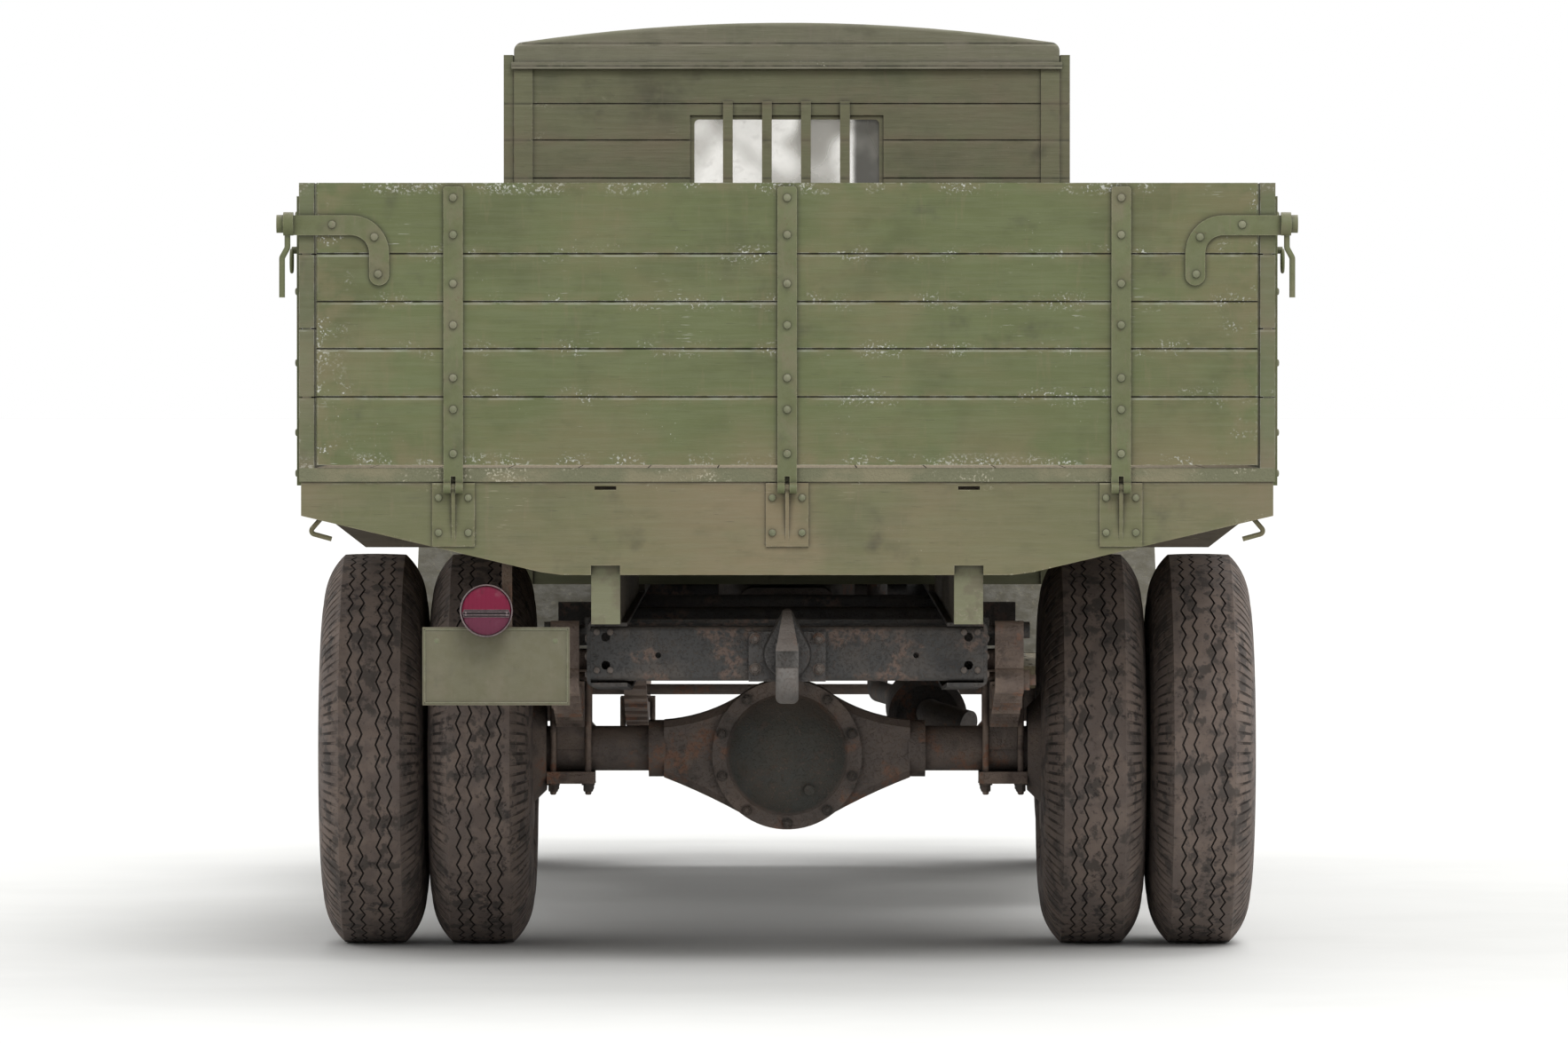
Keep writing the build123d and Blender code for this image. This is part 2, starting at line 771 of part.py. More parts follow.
# ================================================================ axles
with BuildPart() as front_axle:
    slab(
        across(front_axle_y + front_beam_depth / 2),
        (
            (-kingpin_x, axle_eye_z[0]), (-kingpin_x, axle_eye_z[1]), (-kingpin_x + 30, axle_eye_z[1]),
            (-510, front_beam_z[1]), (510, front_beam_z[1]),
            (kingpin_x - 30, axle_eye_z[1]), (kingpin_x, axle_eye_z[1]), (kingpin_x, axle_eye_z[0]),
            (kingpin_x - 46, axle_eye_z[0]), (545, front_beam_z[0]), (-545, front_beam_z[0]),
            (-kingpin_x + 46, axle_eye_z[0]),
        ),
        front_beam_depth,
    )
    web_cut = (front_beam_depth - front_beam_web) / 2
    for start in (front_axle_y - front_beam_depth / 2, front_axle_y + front_beam_depth / 2 - web_cut):
        block((-500, 500), (start, start + web_cut),
              (front_beam_z[0] + front_beam_flange, front_beam_z[1] - front_beam_flange), mode=Mode.SUBTRACT)
    for side in (-1, 1):
        block(span(side * front_spring_x, front_spring_width), span(front_axle_y, 2 * front_seat_half),
              (front_beam_z[1], front_spring_seat_z))
        rod((side * kingpin_x, front_axle_y, axle_eye_z[0]),
            (side * kingpin_x, front_axle_y, axle_eye_z[1]), axle_eye_r)
    for side in (-1, 1):
        rod((side * kingpin_x, front_axle_y, axle_eye_z[0] - 1),
            (side * kingpin_x, front_axle_y, axle_eye_z[1] + 1), kingpin_r + seat_gap, mode=Mode.SUBTRACT)

with BuildPart() as rear_axle:
    rod((-axle_tube_end_x, rear_axle_y, wheel_centre_z), (axle_tube_end_x, rear_axle_y, wheel_centre_z),
        axle_tube_r)
    rod((-rear_spindle_end_x, rear_axle_y, wheel_centre_z), (rear_spindle_end_x, rear_axle_y, wheel_centre_z),
        rear_spindle_r)
    # banjo: a ring that flares out into an arm each side
    with BuildSketch(across(rear_axle_y + banjo_half)) as banjo_arms:
        for side in (-1, 1):
            for way in (-1, 1):
                arm_z = wheel_centre_z + way * axle_collar_r
                lean = radians(banjo_tangent)
                ring = (side * banjo_r * cos(lean), banjo_centre_z + way * banjo_r * sin(lean))
                with BuildLine():
                    Line((0, banjo_centre_z), (0, banjo_centre_z + way * banjo_r * 0.9))
                    Line((0, banjo_centre_z + way * banjo_r * 0.9), ring)
                    ThreePointArc(
                        ring,
                        (side * banjo_flare_x, banjo_centre_z + way * banjo_flare_z),
                        (side * axle_collar_x[0], arm_z),
                    )
                    Line((side * axle_collar_x[0], arm_z), (side * axle_collar_x[0], banjo_centre_z))
                    Line((side * axle_collar_x[0], banjo_centre_z), (0, banjo_centre_z))
                make_face()
    extrude(banjo_arms.sketch, amount=2 * banjo_half)
    chamfer(
        [
            edge for edge in rear_axle.edges().filter_by(GeomType.CIRCLE)
            if edge.length > 60 and abs(abs(edge.center().Y - rear_axle_y) - banjo_half) < 0.1
        ],
        length=banjo_edge,
    )
    for side in (-1, 1):
        rod((side * (axle_collar_x[0] - 4), rear_axle_y, wheel_centre_z),
            (side * axle_collar_x[1], rear_axle_y, wheel_centre_z), axle_collar_r)
        rod((side * (rear_shield_x - rear_shield_thick), rear_axle_y, wheel_centre_z),
            (side * rear_shield_x, rear_axle_y, wheel_centre_z), rear_shield_r)
        with Locations(Plane(origin=(side * axle_flange_x[0], rear_axle_y, wheel_centre_z), z_dir=(side, 0, 0))):
            Cone(axle_flange_r[0], axle_flange_r[1], axle_flange_x[1] - axle_flange_x[0],
                 align=(Align.CENTER, Align.CENTER, Align.MIN))
        block(span(side * rear_spring_x, rear_spring_width), span(rear_axle_y, 2 * spring_seat_half),
              (wheel_centre_z, rear_spring_seat_z))
    rod((0, rear_axle_y - banjo_half - banjo_ring_depth, banjo_centre_z),
        (0, rear_axle_y + banjo_half + banjo_ring_depth, banjo_centre_z), banjo_r)
    # domed rear cover
    with BuildSketch(Plane(origin=(0, rear_axle_y, banjo_centre_z), x_dir=(0, -1, 0), z_dir=(0, 0, 1))) as dome:
        with BuildLine():
            face = banjo_half + banjo_ring_depth
            Line((0, 0), (face, 0))
            Line((face, 0), (face + banjo_cover_depth, 0))
            ThreePointArc((face + banjo_cover_depth, 0), (face + banjo_cover_depth * 0.78, banjo_cover_r * 0.6),
                          (face, banjo_cover_r))
            Line((face, banjo_cover_r), (0, banjo_cover_r))
            Line((0, banjo_cover_r), (0, 0))
        make_face()
    revolve(dome.sketch, axis=Axis((0, rear_axle_y, banjo_centre_z), (0, 1, 0)))
    rod((filler_x, rear_axle_y, filler_z), (filler_x, rear_axle_y - banjo_half - filler_reach, filler_z), filler_r)
    # pinion housing, towards the shaft
    with BuildSketch(across(rear_axle_y + banjo_half)) as pinion_root:
        with Locations((0, pinion_z)):
            Circle(pinion_root_r)
    with BuildSketch(across(pinion_nose_y)) as pinion_end:
        with Locations((0, pinion_z)):
            Circle(pinion_nose_r)
    loft((pinion_root.sketch.faces()[0], pinion_end.sketch.faces()[0]))


# ================================================================ engine, gearbox, propeller shaft
def rounded_face(y, half, z, corner):
    """An upright rectangle across the truck with rounded corners, as a face to loft."""
    with BuildSketch(across(y)) as section:
        with Locations((0, sum(z) / 2)):
            RectangleRounded(2 * half, z[1] - z[0], corner)
    return section.sketch.faces()[0]


with BuildPart() as powertrain:
    block((-engine_half, engine_half), engine_y, engine_z)
    block((-sump_half, sump_half), (engine_y[0], engine_y[1] - 40), (sump_low_z, engine_z[0]))
    loft((rounded_face(engine_y[0], engine_half - 2, (sump_low_z, bell_top_z), housing_corner_r),
          rounded_face(bell_rear_y, gearbox_half, gearbox_z, housing_corner_r)))
    extrude(rounded_face(bell_rear_y, gearbox_half, gearbox_z, housing_corner_r),
            amount=bell_rear_y - gearbox_rear_y)
    loft((rounded_face(gearbox_rear_y, gearbox_half - 20, (gearbox_z[0] + 20, gearbox_z[1] - 20),
                       housing_corner_r),
          rounded_face(gearbox_y[0], shaft_yoke_r, span(shaft_front_z, 2 * shaft_yoke_r),
                       shaft_yoke_r - 1)))
    # engine arms, bolted to the block and resting on the rails
    for y in mount_arm_y:
        for side in (-1, 1):
            block((side * (engine_half + seat_gap), side * mount_arm_end_x), (y, y + mount_arm_depth),
                  (rail_top_z, rail_top_z + mount_arm_thick))
    # the propeller shaft is a solid of its own between the gearbox and the pinion
    rod((0, gearbox_y[0] - shaft_yoke_length, shaft_front_z),
        (0, gearbox_y[0] - seat_gap, shaft_front_z), shaft_yoke_r)
    rod((0, pinion_nose_y + seat_gap, pinion_z), (0, pinion_nose_y + shaft_yoke_length, pinion_z),
        shaft_yoke_r)
    rod((0, gearbox_y[0] - shaft_yoke_length / 2, shaft_front_z),
        (0, pinion_nose_y + shaft_yoke_length / 2, pinion_z), shaft_r)

with BuildPart() as exhaust:
    rod((muffler_x, muffler_y[0], muffler_z), (muffler_x, muffler_y[1], muffler_z), muffler_r)
    for end_y in muffler_y:
        rod((muffler_x, end_y - muffler_recess, muffler_z), (muffler_x, end_y + muffler_recess, muffler_z),
            muffler_disc_r, mode=Mode.SUBTRACT)
    with BuildLine() as front_pipe_path:
        FilletPolyline(
            (muffler_x, muffler_y[1] - 20, muffler_z), (muffler_x, muffler_y[1] + 180, muffler_z),
            (front_pipe_x, front_pipe_y[0], front_pipe_z[0]), (front_pipe_x, front_pipe_y[1], front_pipe_z[0]),
            (front_pipe_x, front_pipe_y[2], front_pipe_z[1]), radius=pipe_bend_r,
        )
    with BuildSketch(Plane(origin=front_pipe_path.line @ 0, z_dir=front_pipe_path.line % 0)):
        Circle(exhaust_pipe_r)
    sweep(path=front_pipe_path.line)
    with BuildLine() as tail_pipe_path:
        FilletPolyline(
            (tail_pipe_x, muffler_y[0] + 30, tail_pipe_z), (tail_pipe_x, muffler_y[0] - 100, tail_pipe_z),
            (tail_pipe_x + 90, muffler_y[0] - 170, tail_pipe_z - 22), radius=pipe_bend_r,
        )
    with BuildSketch(Plane(origin=tail_pipe_path.line @ 0, z_dir=tail_pipe_path.line % 0)):
        Circle(tail_pipe_r)
    sweep(path=tail_pipe_path.line)
    for y in muffler_strap_y:
        block(muffler_strap_x, span(y, 40), (muffler_z + 60, rail_mid_bottom_z))


# ================================================================ radiator, cowl and bonnet
def arch(plane, half, low_z, high_z, corner):
    """Cross-section of the nose: a box with its two upper corners rounded."""
    with BuildSketch(plane) as section:
        with BuildLine():
            FilletPolyline(
                (-half, low_z), (-half, high_z), (half, high_z), (half, low_z), radius=corner
            )
            Line((half, low_z), (-half, low_z))
        make_face()
    return section.sketch.faces()[0]


with BuildPart() as radiator:
    extrude(
        arch(across(radiator_y[1]), radiator_half, radiator_z[0], radiator_z[1], radiator_corner_r),
        amount=radiator_y[1] - radiator_y[0],
    )
    shell_rim = [
        edge for edge in radiator.edges()
        if edge.bounding_box().min.Y > radiator_y[1] - 0.1 and edge.bounding_box().max.Z > radiator_z[0] + 1
    ]
    fillet(shell_rim, radius=radiator_edge_r)
    block((-core_half, core_half), (radiator_y[1] - core_recess, radiator_y[1] + 1), core_z,
          mode=Mode.SUBTRACT)
    for number in range(1, core_bar_count):
        x = -core_half + 2 * core_half * number / core_bar_count
        block(span(x, core_bar), (radiator_y[1] - core_recess, radiator_y[1] - core_bar), core_z)
    rod((0, sum(radiator_y) / 2, radiator_z[1] - 4), (0, sum(radiator_y) / 2, radiator_z[1] + filler_neck),
        filler_neck_r)
    rod((0, sum(radiator_y) / 2, radiator_z[1] + filler_neck - 12),
        (0, sum(radiator_y) / 2, radiator_z[1] + filler_neck), filler_neck_r + 7)
    # the bonnet's hinge pin, a solid of its own between the shell and the cowl
    rod((0, radiator_y[0] - seat_gap, bonnet_hinge_z), (0, cowl_y[1], bonnet_hinge_z), bonnet_pin_r)

with BuildPart() as cowl:
    loft((
        arch(across(cowl_y[0]), cab_half, cowl_low_z, screen_low_z, cowl_rear_corner_r),
        arch(across(cowl_y[1]), bonnet_rear_half, cowl_low_z, bonnet_top_z, cowl_front_corner_r),
    ))
    loft((
        arch(across(cowl_y[0] - 0.5), cab_half - cowl_sheet, cowl_low_z + cowl_sheet,
             screen_low_z - cowl_sheet, cowl_rear_corner_r - cowl_sheet),
        arch(across(cowl_y[1] - cowl_sheet), bonnet_rear_half - 3 * cowl_sheet, cowl_low_z + cowl_sheet,
             bonnet_top_z - cowl_sheet, cowl_front_corner_r - cowl_sheet),
    ), mode=Mode.SUBTRACT)

bonnets = {}
for side_name, side in SIDES:
    with BuildPart() as bonnet:
        loft((
            arch(across(bonnet_y[0]), bonnet_rear_half, bonnet_low_z, bonnet_top_z, bonnet_corner_r),
            arch(across(bonnet_y[1]), radiator_half, bonnet_low_z, bonnet_top_z, bonnet_corner_r),
        ))
        loft((
            arch(across(bonnet_y[0] - 1), bonnet_rear_half - bonnet_sheet, bonnet_low_z - 1,
                 bonnet_top_z - bonnet_sheet, bonnet_corner_r - bonnet_sheet),
            arch(across(bonnet_y[1] + 1), radiator_half - bonnet_sheet, bonnet_low_z - 1,
                 bonnet_top_z - bonnet_sheet, bonnet_corner_r - bonnet_sheet),
        ), mode=Mode.SUBTRACT)
        edge_x = bonnet_knuckle_r + seat_gap
        block((-side * 2 * bonnet_rear_half, side * edge_x), (bonnet_y[0] - 5, bonnet_y[1] + 5),
              (bonnet_low_z - 5, bonnet_top_z + 5), mode=Mode.SUBTRACT)
        for number in range(louvre_count):
            y = louvre_start_y + number * louvre_pitch
            block((side * (radiator_half - 30), side * (bonnet_rear_half + 5)), span(y, louvre_width), louvre_z,
                  mode=Mode.SUBTRACT)
        # this half's knuckles, a tube on the pin beside its sheet, in turn with the other half's
        pitch = (bonnet_y[1] - bonnet_y[0]) / bonnet_knuckle_count
        for number in range(0 if side > 0 else 1, bonnet_knuckle_count, 2):
            start = bonnet_y[0] + number * pitch
            rod((0, start + 1, bonnet_hinge_z), (0, start + pitch - 1, bonnet_hinge_z), bonnet_knuckle_r)
        rod((0, bonnet_y[0] - 5, bonnet_hinge_z), (0, bonnet_y[1] + 5, bonnet_hinge_z),
            bonnet_pin_r + seat_gap, mode=Mode.SUBTRACT)
    bonnets[side_name] = bonnet


# ================================================================ cab
with BuildPart() as cab_floor:
    block((-cab_half, cab_half), (cab_rear_y + cab_plank, cowl_y[0]), cab_floor_z)
    for side in (-1, 1):
        block(span(side * (rail_outer_x - rail_flange / 2), rail_flange),
              (cab_rear_y + cab_plank, cowl_y[0]), (rail_top_z, cab_floor_z[0]))
    block((-seat_half, seat_half), (seat_y[0], seat_y[1] - 30), (seat_box_low_z, seat_z[0]))
    block((-seat_half + 20, seat_half - 20), (seat_y[0] + 20, seat_y[1] - 50),
          (seat_box_low_z, seat_z[0] - 20), mode=Mode.SUBTRACT)

with BuildPart() as cab_back_wall:
    block((-cab_half, cab_half), (cab_rear_y, cab_rear_y + cab_plank), (cab_wall_low_z, roof_skirt_z))
    block((-rear_window_half, rear_window_half), (cab_rear_y - 1, cab_rear_y + cab_plank + 1),
          rear_window_z, mode=Mode.SUBTRACT)
    for z in cab_joints_z:
        block((-cab_post_inner_x, cab_post_inner_x), span(cab_rear_y, 2 * cab_joint_depth),
              span(z, joint_width), mode=Mode.SUBTRACT)
    # rounded metal frame of the window, with the pane behind it
    with BuildSketch(across(cab_rear_y + window_frame_y[1])) as window_frame:
        window_size = (2 * rear_window_half, rear_window_z[1] - rear_window_z[0])
        with Locations((0, sum(rear_window_z) / 2)):
            Rectangle(*window_size)
            RectangleRounded(window_size[0] - 2 * window_frame_width, window_size[1] - 2 * window_frame_width,
                             window_frame_r, mode=Mode.SUBTRACT)
    extrude(window_frame.sketch, amount=window_frame_y[1] - window_frame_y[0])
    for x in guard_bar_x:
        block(span(x, guard_bar_width), (cab_rear_y - guard_bar_depth, cab_rear_y), guard_bar_z)
    for side in (-1, 1):
        block((side * cab_post_inner_x, side * roof_half), (cab_rear_y - cab_post_proud, cab_rear_y),
              (cab_wall_low_z, drip_z[0] - seat_gap))

with BuildPart() as cab_pillars:
    wall_front_y = cab_rear_y + cab_plank
    for side in (-1, 1):
        inner = side * (cab_half - cab_post)
        block((inner, side * cab_half), (wall_front_y, door_y[0] - moving_gap), (cab_floor_z[1], roof_skirt_z))
        block((side * cab_half, side * cab_skin_x), (cab_rear_y, door_y[0] - moving_gap),
              (cab_floor_z[0], header_top_z))
        block((inner, side * cab_half), (door_y[1] + moving_gap, cowl_y[0]), (cab_floor_z[1], roof_skirt_z))
        block((side * cab_half, side * cab_skin_x), (door_y[1] + moving_gap, cowl_y[0]),
              (cab_floor_z[0], header_top_z))
        block((side * cab_half, side * cab_skin_x), (cab_rear_y, cowl_y[0]),
              (door_z[1] + moving_gap, header_top_z))
        block((inner, side * cab_half), (wall_front_y, cowl_y[0]), (door_z[1] - 30, roof_skirt_z))
        block((side * cab_half, side * cab_skin_x), (cab_rear_y, cowl_y[0]),
              (cab_floor_z[0], door_z[0] - moving_gap))
        post_y = door_y[1] + moving_gap
        for z, strap_length in door_hinge_table:
            for low in (z - door_knuckle_length - seat_gap, z + door_knuckle_length + seat_gap):
                rod((side * door_hinge_x, post_y, low), (side * door_hinge_x, post_y, low + door_knuckle_length),
                    door_knuckle_r)
                block((side * cab_skin_x, side * (cab_skin_x + door_strap_thick)),
                      (post_y + door_knuckle_r / 2, cowl_y[0]), (low, low + door_knuckle_length))
    block((-cab_half, cab_half), screen_y, (screen_high_z, roof_skirt_z))
    block((-cab_half + cab_post, cab_half - cab_post), screen_y, (screen_low_z - 60, screen_low_z))

def roof_face(y, inset):
    """Cross-section of the roof: a shallow arch over two upright sides, with rounded corners."""
    half = roof_half - inset
    corner = (half, roof_corner_z - inset)
    with BuildSketch(across(y)) as section:
        with BuildLine():
            Line((-half, roof_skirt_z), (half, roof_skirt_z))
            for way in (-1, 1):
                Line((way * half, roof_skirt_z), (way * corner[0], corner[1]))
            ThreePointArc((-corner[0], corner[1]), (0, roof_crown_z - inset), corner)
        make_face()
        fillet([v for v in section.vertices() if v.Y > roof_skirt_z + 1 and v.Y < roof_crown_z - inset - 1],
               radius=roof_corner_r)
    return section.sketch.faces()[0]


with BuildPart() as cab_roof:
    extrude(roof_face(roof_y[1], 0), amount=roof_y[1] - roof_y[0])
    end_rims = [
        edge for edge in cab_roof.edges()
        if edge.bounding_box().max.Y - edge.bounding_box().min.Y < 0.1
        and edge.bounding_box().max.Z > roof_corner_z - roof_corner_r
    ]
    fillet(end_rims, radius=roof_edge_r)
    extrude(roof_face(roof_y[1] - roof_thick, roof_thick), amount=roof_y[1] - roof_y[0] - 2 * roof_thick,
            mode=Mode.SUBTRACT)
    # drip strips over the joint with the walls
    block((-roof_half - drip_proud, roof_half + drip_proud), (roof_y[0] - drip_proud, roof_y[0] + 2), drip_z)
    block((-roof_half - drip_proud, roof_half + drip_proud), (roof_y[1] - 2, roof_y[1] + drip_proud), drip_z)

with BuildPart() as cab_glass:
    block((-cab_half + cab_post, cab_half - cab_post), span(sum(screen_y) / 2, glass_thick),
          (screen_low_z, screen_high_z))
    pane_y = cab_rear_y + window_frame_y[1] + seat_gap
    block((-rear_window_half, rear_window_half), (pane_y, pane_y + glass_thick), rear_window_z)

with BuildPart() as seat_cushions:
    block((-seat_half, seat_half), seat_y, seat_z)
    block((-seat_half, seat_half), seat_back_y, seat_back_z)

wheel_axis = Vector(*steering_foot) - Vector(*steering_wheel_centre)
with BuildPart() as steering_column:
    rod(steering_wheel_centre, steering_foot, steering_column_r)
    with Locations(Plane(origin=steering_wheel_centre, z_dir=wheel_axis)):
        Torus(steering_wheel_r - steering_rim_r, steering_rim_r)
        with PolarLocations(0, 4):
            Box(2 * steering_wheel_r - 2 * steering_rim_r, 22, 9)
    block(span(steering_foot[0], 70), (steering_foot[1] - 30, steering_foot[1] + 20),
          (cowl_low_z + cowl_sheet, steering_foot[2] + 10))

doors = {}
for side_name, side in SIDES:
    with BuildPart() as door:
        block((side * (cab_skin_x - door_thick), side * cab_skin_x), door_y, door_z)
        block((side * (cab_skin_x - door_thick - 1), side * (cab_skin_x + 1)), door_window_y,
              door_window_z, mode=Mode.SUBTRACT)
        for z in door_joints_z:
            block((side * (cab_skin_x - door_joint_depth), side * (cab_skin_x + 1)),
                  (door_y[0] - 1, door_y[1] + 1), span(z, joint_width), mode=Mode.SUBTRACT)
        for z, strap_length in door_hinge_table:
            rod((side * door_hinge_x, door_y[1] + moving_gap, z),
                (side * door_hinge_x, door_y[1] + moving_gap, z + door_knuckle_length), door_knuckle_r)
            block((side * cab_skin_x, side * (cab_skin_x + door_strap_thick)),
                  (door_y[1] - strap_length, door_y[1] + moving_gap - door_knuckle_r / 2),
                  (z, z + door_knuckle_length))
        handle_y, handle_z = door_handle
        lever_x = side * (cab_skin_x + door_handle_stand)
        rod((side * cab_skin_x, handle_y, handle_z), (side * (cab_skin_x + 5), handle_y, handle_z),
            3 * door_lever_r)
        rod((side * cab_skin_x, handle_y, handle_z), (lever_x + side * door_post_end, handle_y, handle_z),
            door_post_r)
        rod((lever_x, handle_y, handle_z), (lever_x, handle_y + door_lever_length, handle_z - 8), door_lever_r)
    doors[side_name] = door


# ================================================================ running boards, fenders, nose
with BuildPart() as running_boards:
    block(board_x, board_y, board_z)
    for number in range(1, board_plank_count):
        x = board_x[0] + (board_x[1] - board_x[0]) * number / board_plank_count
        block(span(x, joint_width), (board_y[0] - 1, board_y[1] + 1), span(board_z[1], 2 * joint_depth),
              mode=Mode.SUBTRACT)
    for y in board_bracket_y:
        block((rail_outer_x, board_x[1] - 40), (y, y + 50), (board_z[0] - 30, board_z[0]))
        block((rail_outer_x, rail_outer_x + 8), (y, y + 50), (board_z[0] - 30, rail_mid_bottom_z + 110))
    mirror(about=Plane.YZ)

with BuildPart() as front_fenders:
    with BuildSketch(Plane.YZ.offset(fender_x[0])):
        with BuildLine() as fender_line:
            Polyline(*fender_path)
        trace(fender_line.line, line_width=fender_sheet)
    extrude(amount=fender_x[1] - fender_x[0])
    slab(Plane.YZ.offset(fender_x[0]),
         ((fender_path[0][0] - 150, fender_apron_low_z), fender_path[1], fender_path[2],
          (fender_path[3][0] + 200, fender_apron_low_z)), fender_sheet)
    # the outer edge is turned down
    lip_low = [(y, z - fender_lip) for y, z in reversed(fender_path)]
    slab(Plane.YZ.offset(fender_x[1] - fender_sheet), (*fender_path, *lip_low), fender_sheet)
    mirror(about=Plane.YZ)

with BuildPart() as front_bumper:
    block((-bumper_half, bumper_half), bumper_y, bumper_z)
    block((-bumper_half - 1, bumper_half + 1), (bumper_y[0] - 1, bumper_y[1] - bumper_sheet),
          (bumper_z[0] + bumper_sheet, bumper_z[1] - bumper_sheet), mode=Mode.SUBTRACT)
    for side in (-1, 1):
        block((side * (rail_outer_x - rail_web - bumper_arm_width), side * (rail_outer_x - rail_web)),
              (rail_front_y - bumper_arm_lap, bumper_y[1] - bumper_sheet), bumper_arm_z)

with BuildPart() as headlamps:
    for side in (-1, 1):
        x = side * lamp_x
        rod((x, lamp_y, fender_path[1][1] + fender_sheet / 2), (x, lamp_y, lamp_z), 14)
        with BuildSketch(Plane(origin=(x, lamp_y, lamp_z), x_dir=(0, 1, 0), z_dir=(0, 0, 1))):
            with BuildLine():
                Line((-lamp_depth / 2, 0), (lamp_depth / 2, 0))
                Line((lamp_depth / 2, 0), (lamp_depth / 2, lamp_r))
                Line((lamp_depth / 2, lamp_r), (lamp_depth / 2 - 30, lamp_r))
                ThreePointArc((lamp_depth / 2 - 30, lamp_r), (-lamp_depth / 4, lamp_r * 0.75),
                              (-lamp_depth / 2, 0))
            make_face()
        revolve(axis=Axis((x, lamp_y, lamp_z), (0, 1, 0)))


# ================================================================ bed
with BuildPart() as bed_floor:
    block((-bed_half, bed_half), bed_y, bed_floor_z)
    plank = 2 * bed_half / floor_plank_count
    for number in range(1, floor_plank_count):
        for z in bed_floor_z:
            block(span(-bed_half + number * plank, joint_width), (bed_y[0] + floor_batten, bed_y[1] + 1),
                  span(z, 2 * joint_depth), mode=Mode.SUBTRACT)
    for z in bed_floor_z:
        block((-bed_half - 1, bed_half + 1), span(bed_y[0] + floor_batten, joint_width),
              span(z, 2 * joint_depth), mode=Mode.SUBTRACT)

with BuildPart() as bed_sides:
    for side in (-1, 1):
        block((side * side_inner_x, side * bed_half), bed_y, (bed_floor_z[1], bed_top_z))
    block((-side_inner_x, side_inner_x), (bed_y[1] - board_thick, bed_y[1]), (bed_floor_z[1], bed_top_z))
    for z in side_joints_z:
        for side in (-1, 1):
            for x in (side_inner_x, bed_half):
                block(span(side * x, 2 * joint_depth), (bed_y[0] - 1, bed_y[1] + 1), span(z, joint_width),
                      mode=Mode.SUBTRACT)
        for y, half in ((bed_y[1] - board_thick, side_inner_x), (bed_y[1], bed_half)):
            block((-half, half), span(y, 2 * joint_depth), span(z, joint_width), mode=Mode.SUBTRACT)
    # battens inside the boards, opposite the irons, that the planks are nailed to
    for side in (-1, 1):
        for y in iron_y[1:-1]:
            block((side * (side_inner_x - batten_thick), side * side_inner_x), span(y, batten_width),
                  (bed_floor_z[1], bed_top_z - batten_drop))

with BuildPart() as bed_bearers:
    for side in (-1, 1):
        block((side * long_bearer_x[0], side * long_bearer_x[1]), (sill_y[1] + seat_gap, long_bearer_y[1]),
              (rail_top_z, cross_bearer_z[0]))
        block((side * long_bearer_x[0], side * long_bearer_x[1]), (long_bearer_y[0], sill_y[1] + 1),
              (rail_top_z, long_bearer_lap_z))
    for y in cross_bearer_y:
        slab(
            across(y + cross_bearer_depth / 2),
            (
                (-cross_bearer_high_half, cross_bearer_z[1]), (-cross_bearer_high_half, cross_bearer_end_z),
                (-cross_bearer_low_half, cross_bearer_z[0]), (cross_bearer_low_half, cross_bearer_z[0]),
                (cross_bearer_high_half, cross_bearer_end_z), (cross_bearer_high_half, cross_bearer_z[1]),
            ),
            cross_bearer_depth,
        )

with BuildPart() as bed_irons:
    for side in (-1, 1):
        for y in iron_y:
            block((side * bed_half, side * (bed_half + iron_thick)), span(y, iron_width), iron_z)
            rod((side * (bed_half + iron_thick / 2), y, iron_z[1] - iron_ring_drop),
                (side * (bed_half + iron_thick + iron_ring_stand), y, iron_z[1] - iron_ring_drop), iron_ring_pin_r)
            with Locations(Plane(origin=(side * (bed_half + iron_thick + iron_ring_stand), y,
                                         iron_z[1] - iron_ring_drop - iron_ring_r), z_dir=(1, 0, 0))):
                Torus(iron_ring_r, iron_ring_bar_r)

with BuildPart() as rear_sill:
    slab(
        across(sill_y[1]),
        (
            (-sill_half, sill_top_z), (-sill_half, sill_end_z), (-sill_knee_x, sill_knee_z),
            (-sill_flat_x, sill_flat_z), (sill_flat_x, sill_flat_z), (sill_knee_x, sill_knee_z),
            (sill_half, sill_end_z), (sill_half, sill_top_z),
        ),
        sill_y[1] - sill_y[0],
    )
    for side in (-1, 1):
        block((side * (long_bearer_x[0] - seat_gap), side * (long_bearer_x[1] + seat_gap)),
              (sill_y[0] - 1, sill_y[1] + 1), (sill_flat_z - 5, long_bearer_lap_z), mode=Mode.SUBTRACT)
        with Locations((side * sill_slot_x, sum(sill_y) / 2, sill_slot_z)):
            Box(sill_slot[0], sill_y[1] - sill_y[0] + 2, sill_slot[1], mode=Mode.SUBTRACT)
        with BuildLine() as hook_line:
            FilletPolyline(*[(side * x, lash_hook_y, z) for x, z in lash_hook_path], radius=lash_hook_bend_r)
        with BuildSketch(Plane(origin=hook_line.line @ 0, z_dir=hook_line.line % 0)) as hook_section:
            Circle(lash_hook_r)
        sweep(hook_section.sketch, path=hook_line.line)
    for x in strap_x:
        block(span(x, hinge_plate_width), (sill_y[0] - hinge_plate_thick, sill_y[0]), hinge_plate_z)
        slab(
            Plane.YZ.offset(x - hinge_rib / 2),
            (
                (sill_y[0], gate_axis_z + 4), (gate_axis_y, gate_axis_z + 8), (gate_axis_y - 6, gate_axis_z),
                (gate_axis_y, gate_axis_z - 10), (sill_y[0] - hinge_plate_thick, hinge_plate_z[0] + 12),
                (sill_y[0], hinge_plate_z[0] + 12),
            ),
            hinge_rib,
        )
        rod((x - strap_width / 2, gate_axis_y, gate_axis_z), (x + strap_width / 2, gate_axis_y, gate_axis_z),
            gate_pin_r)

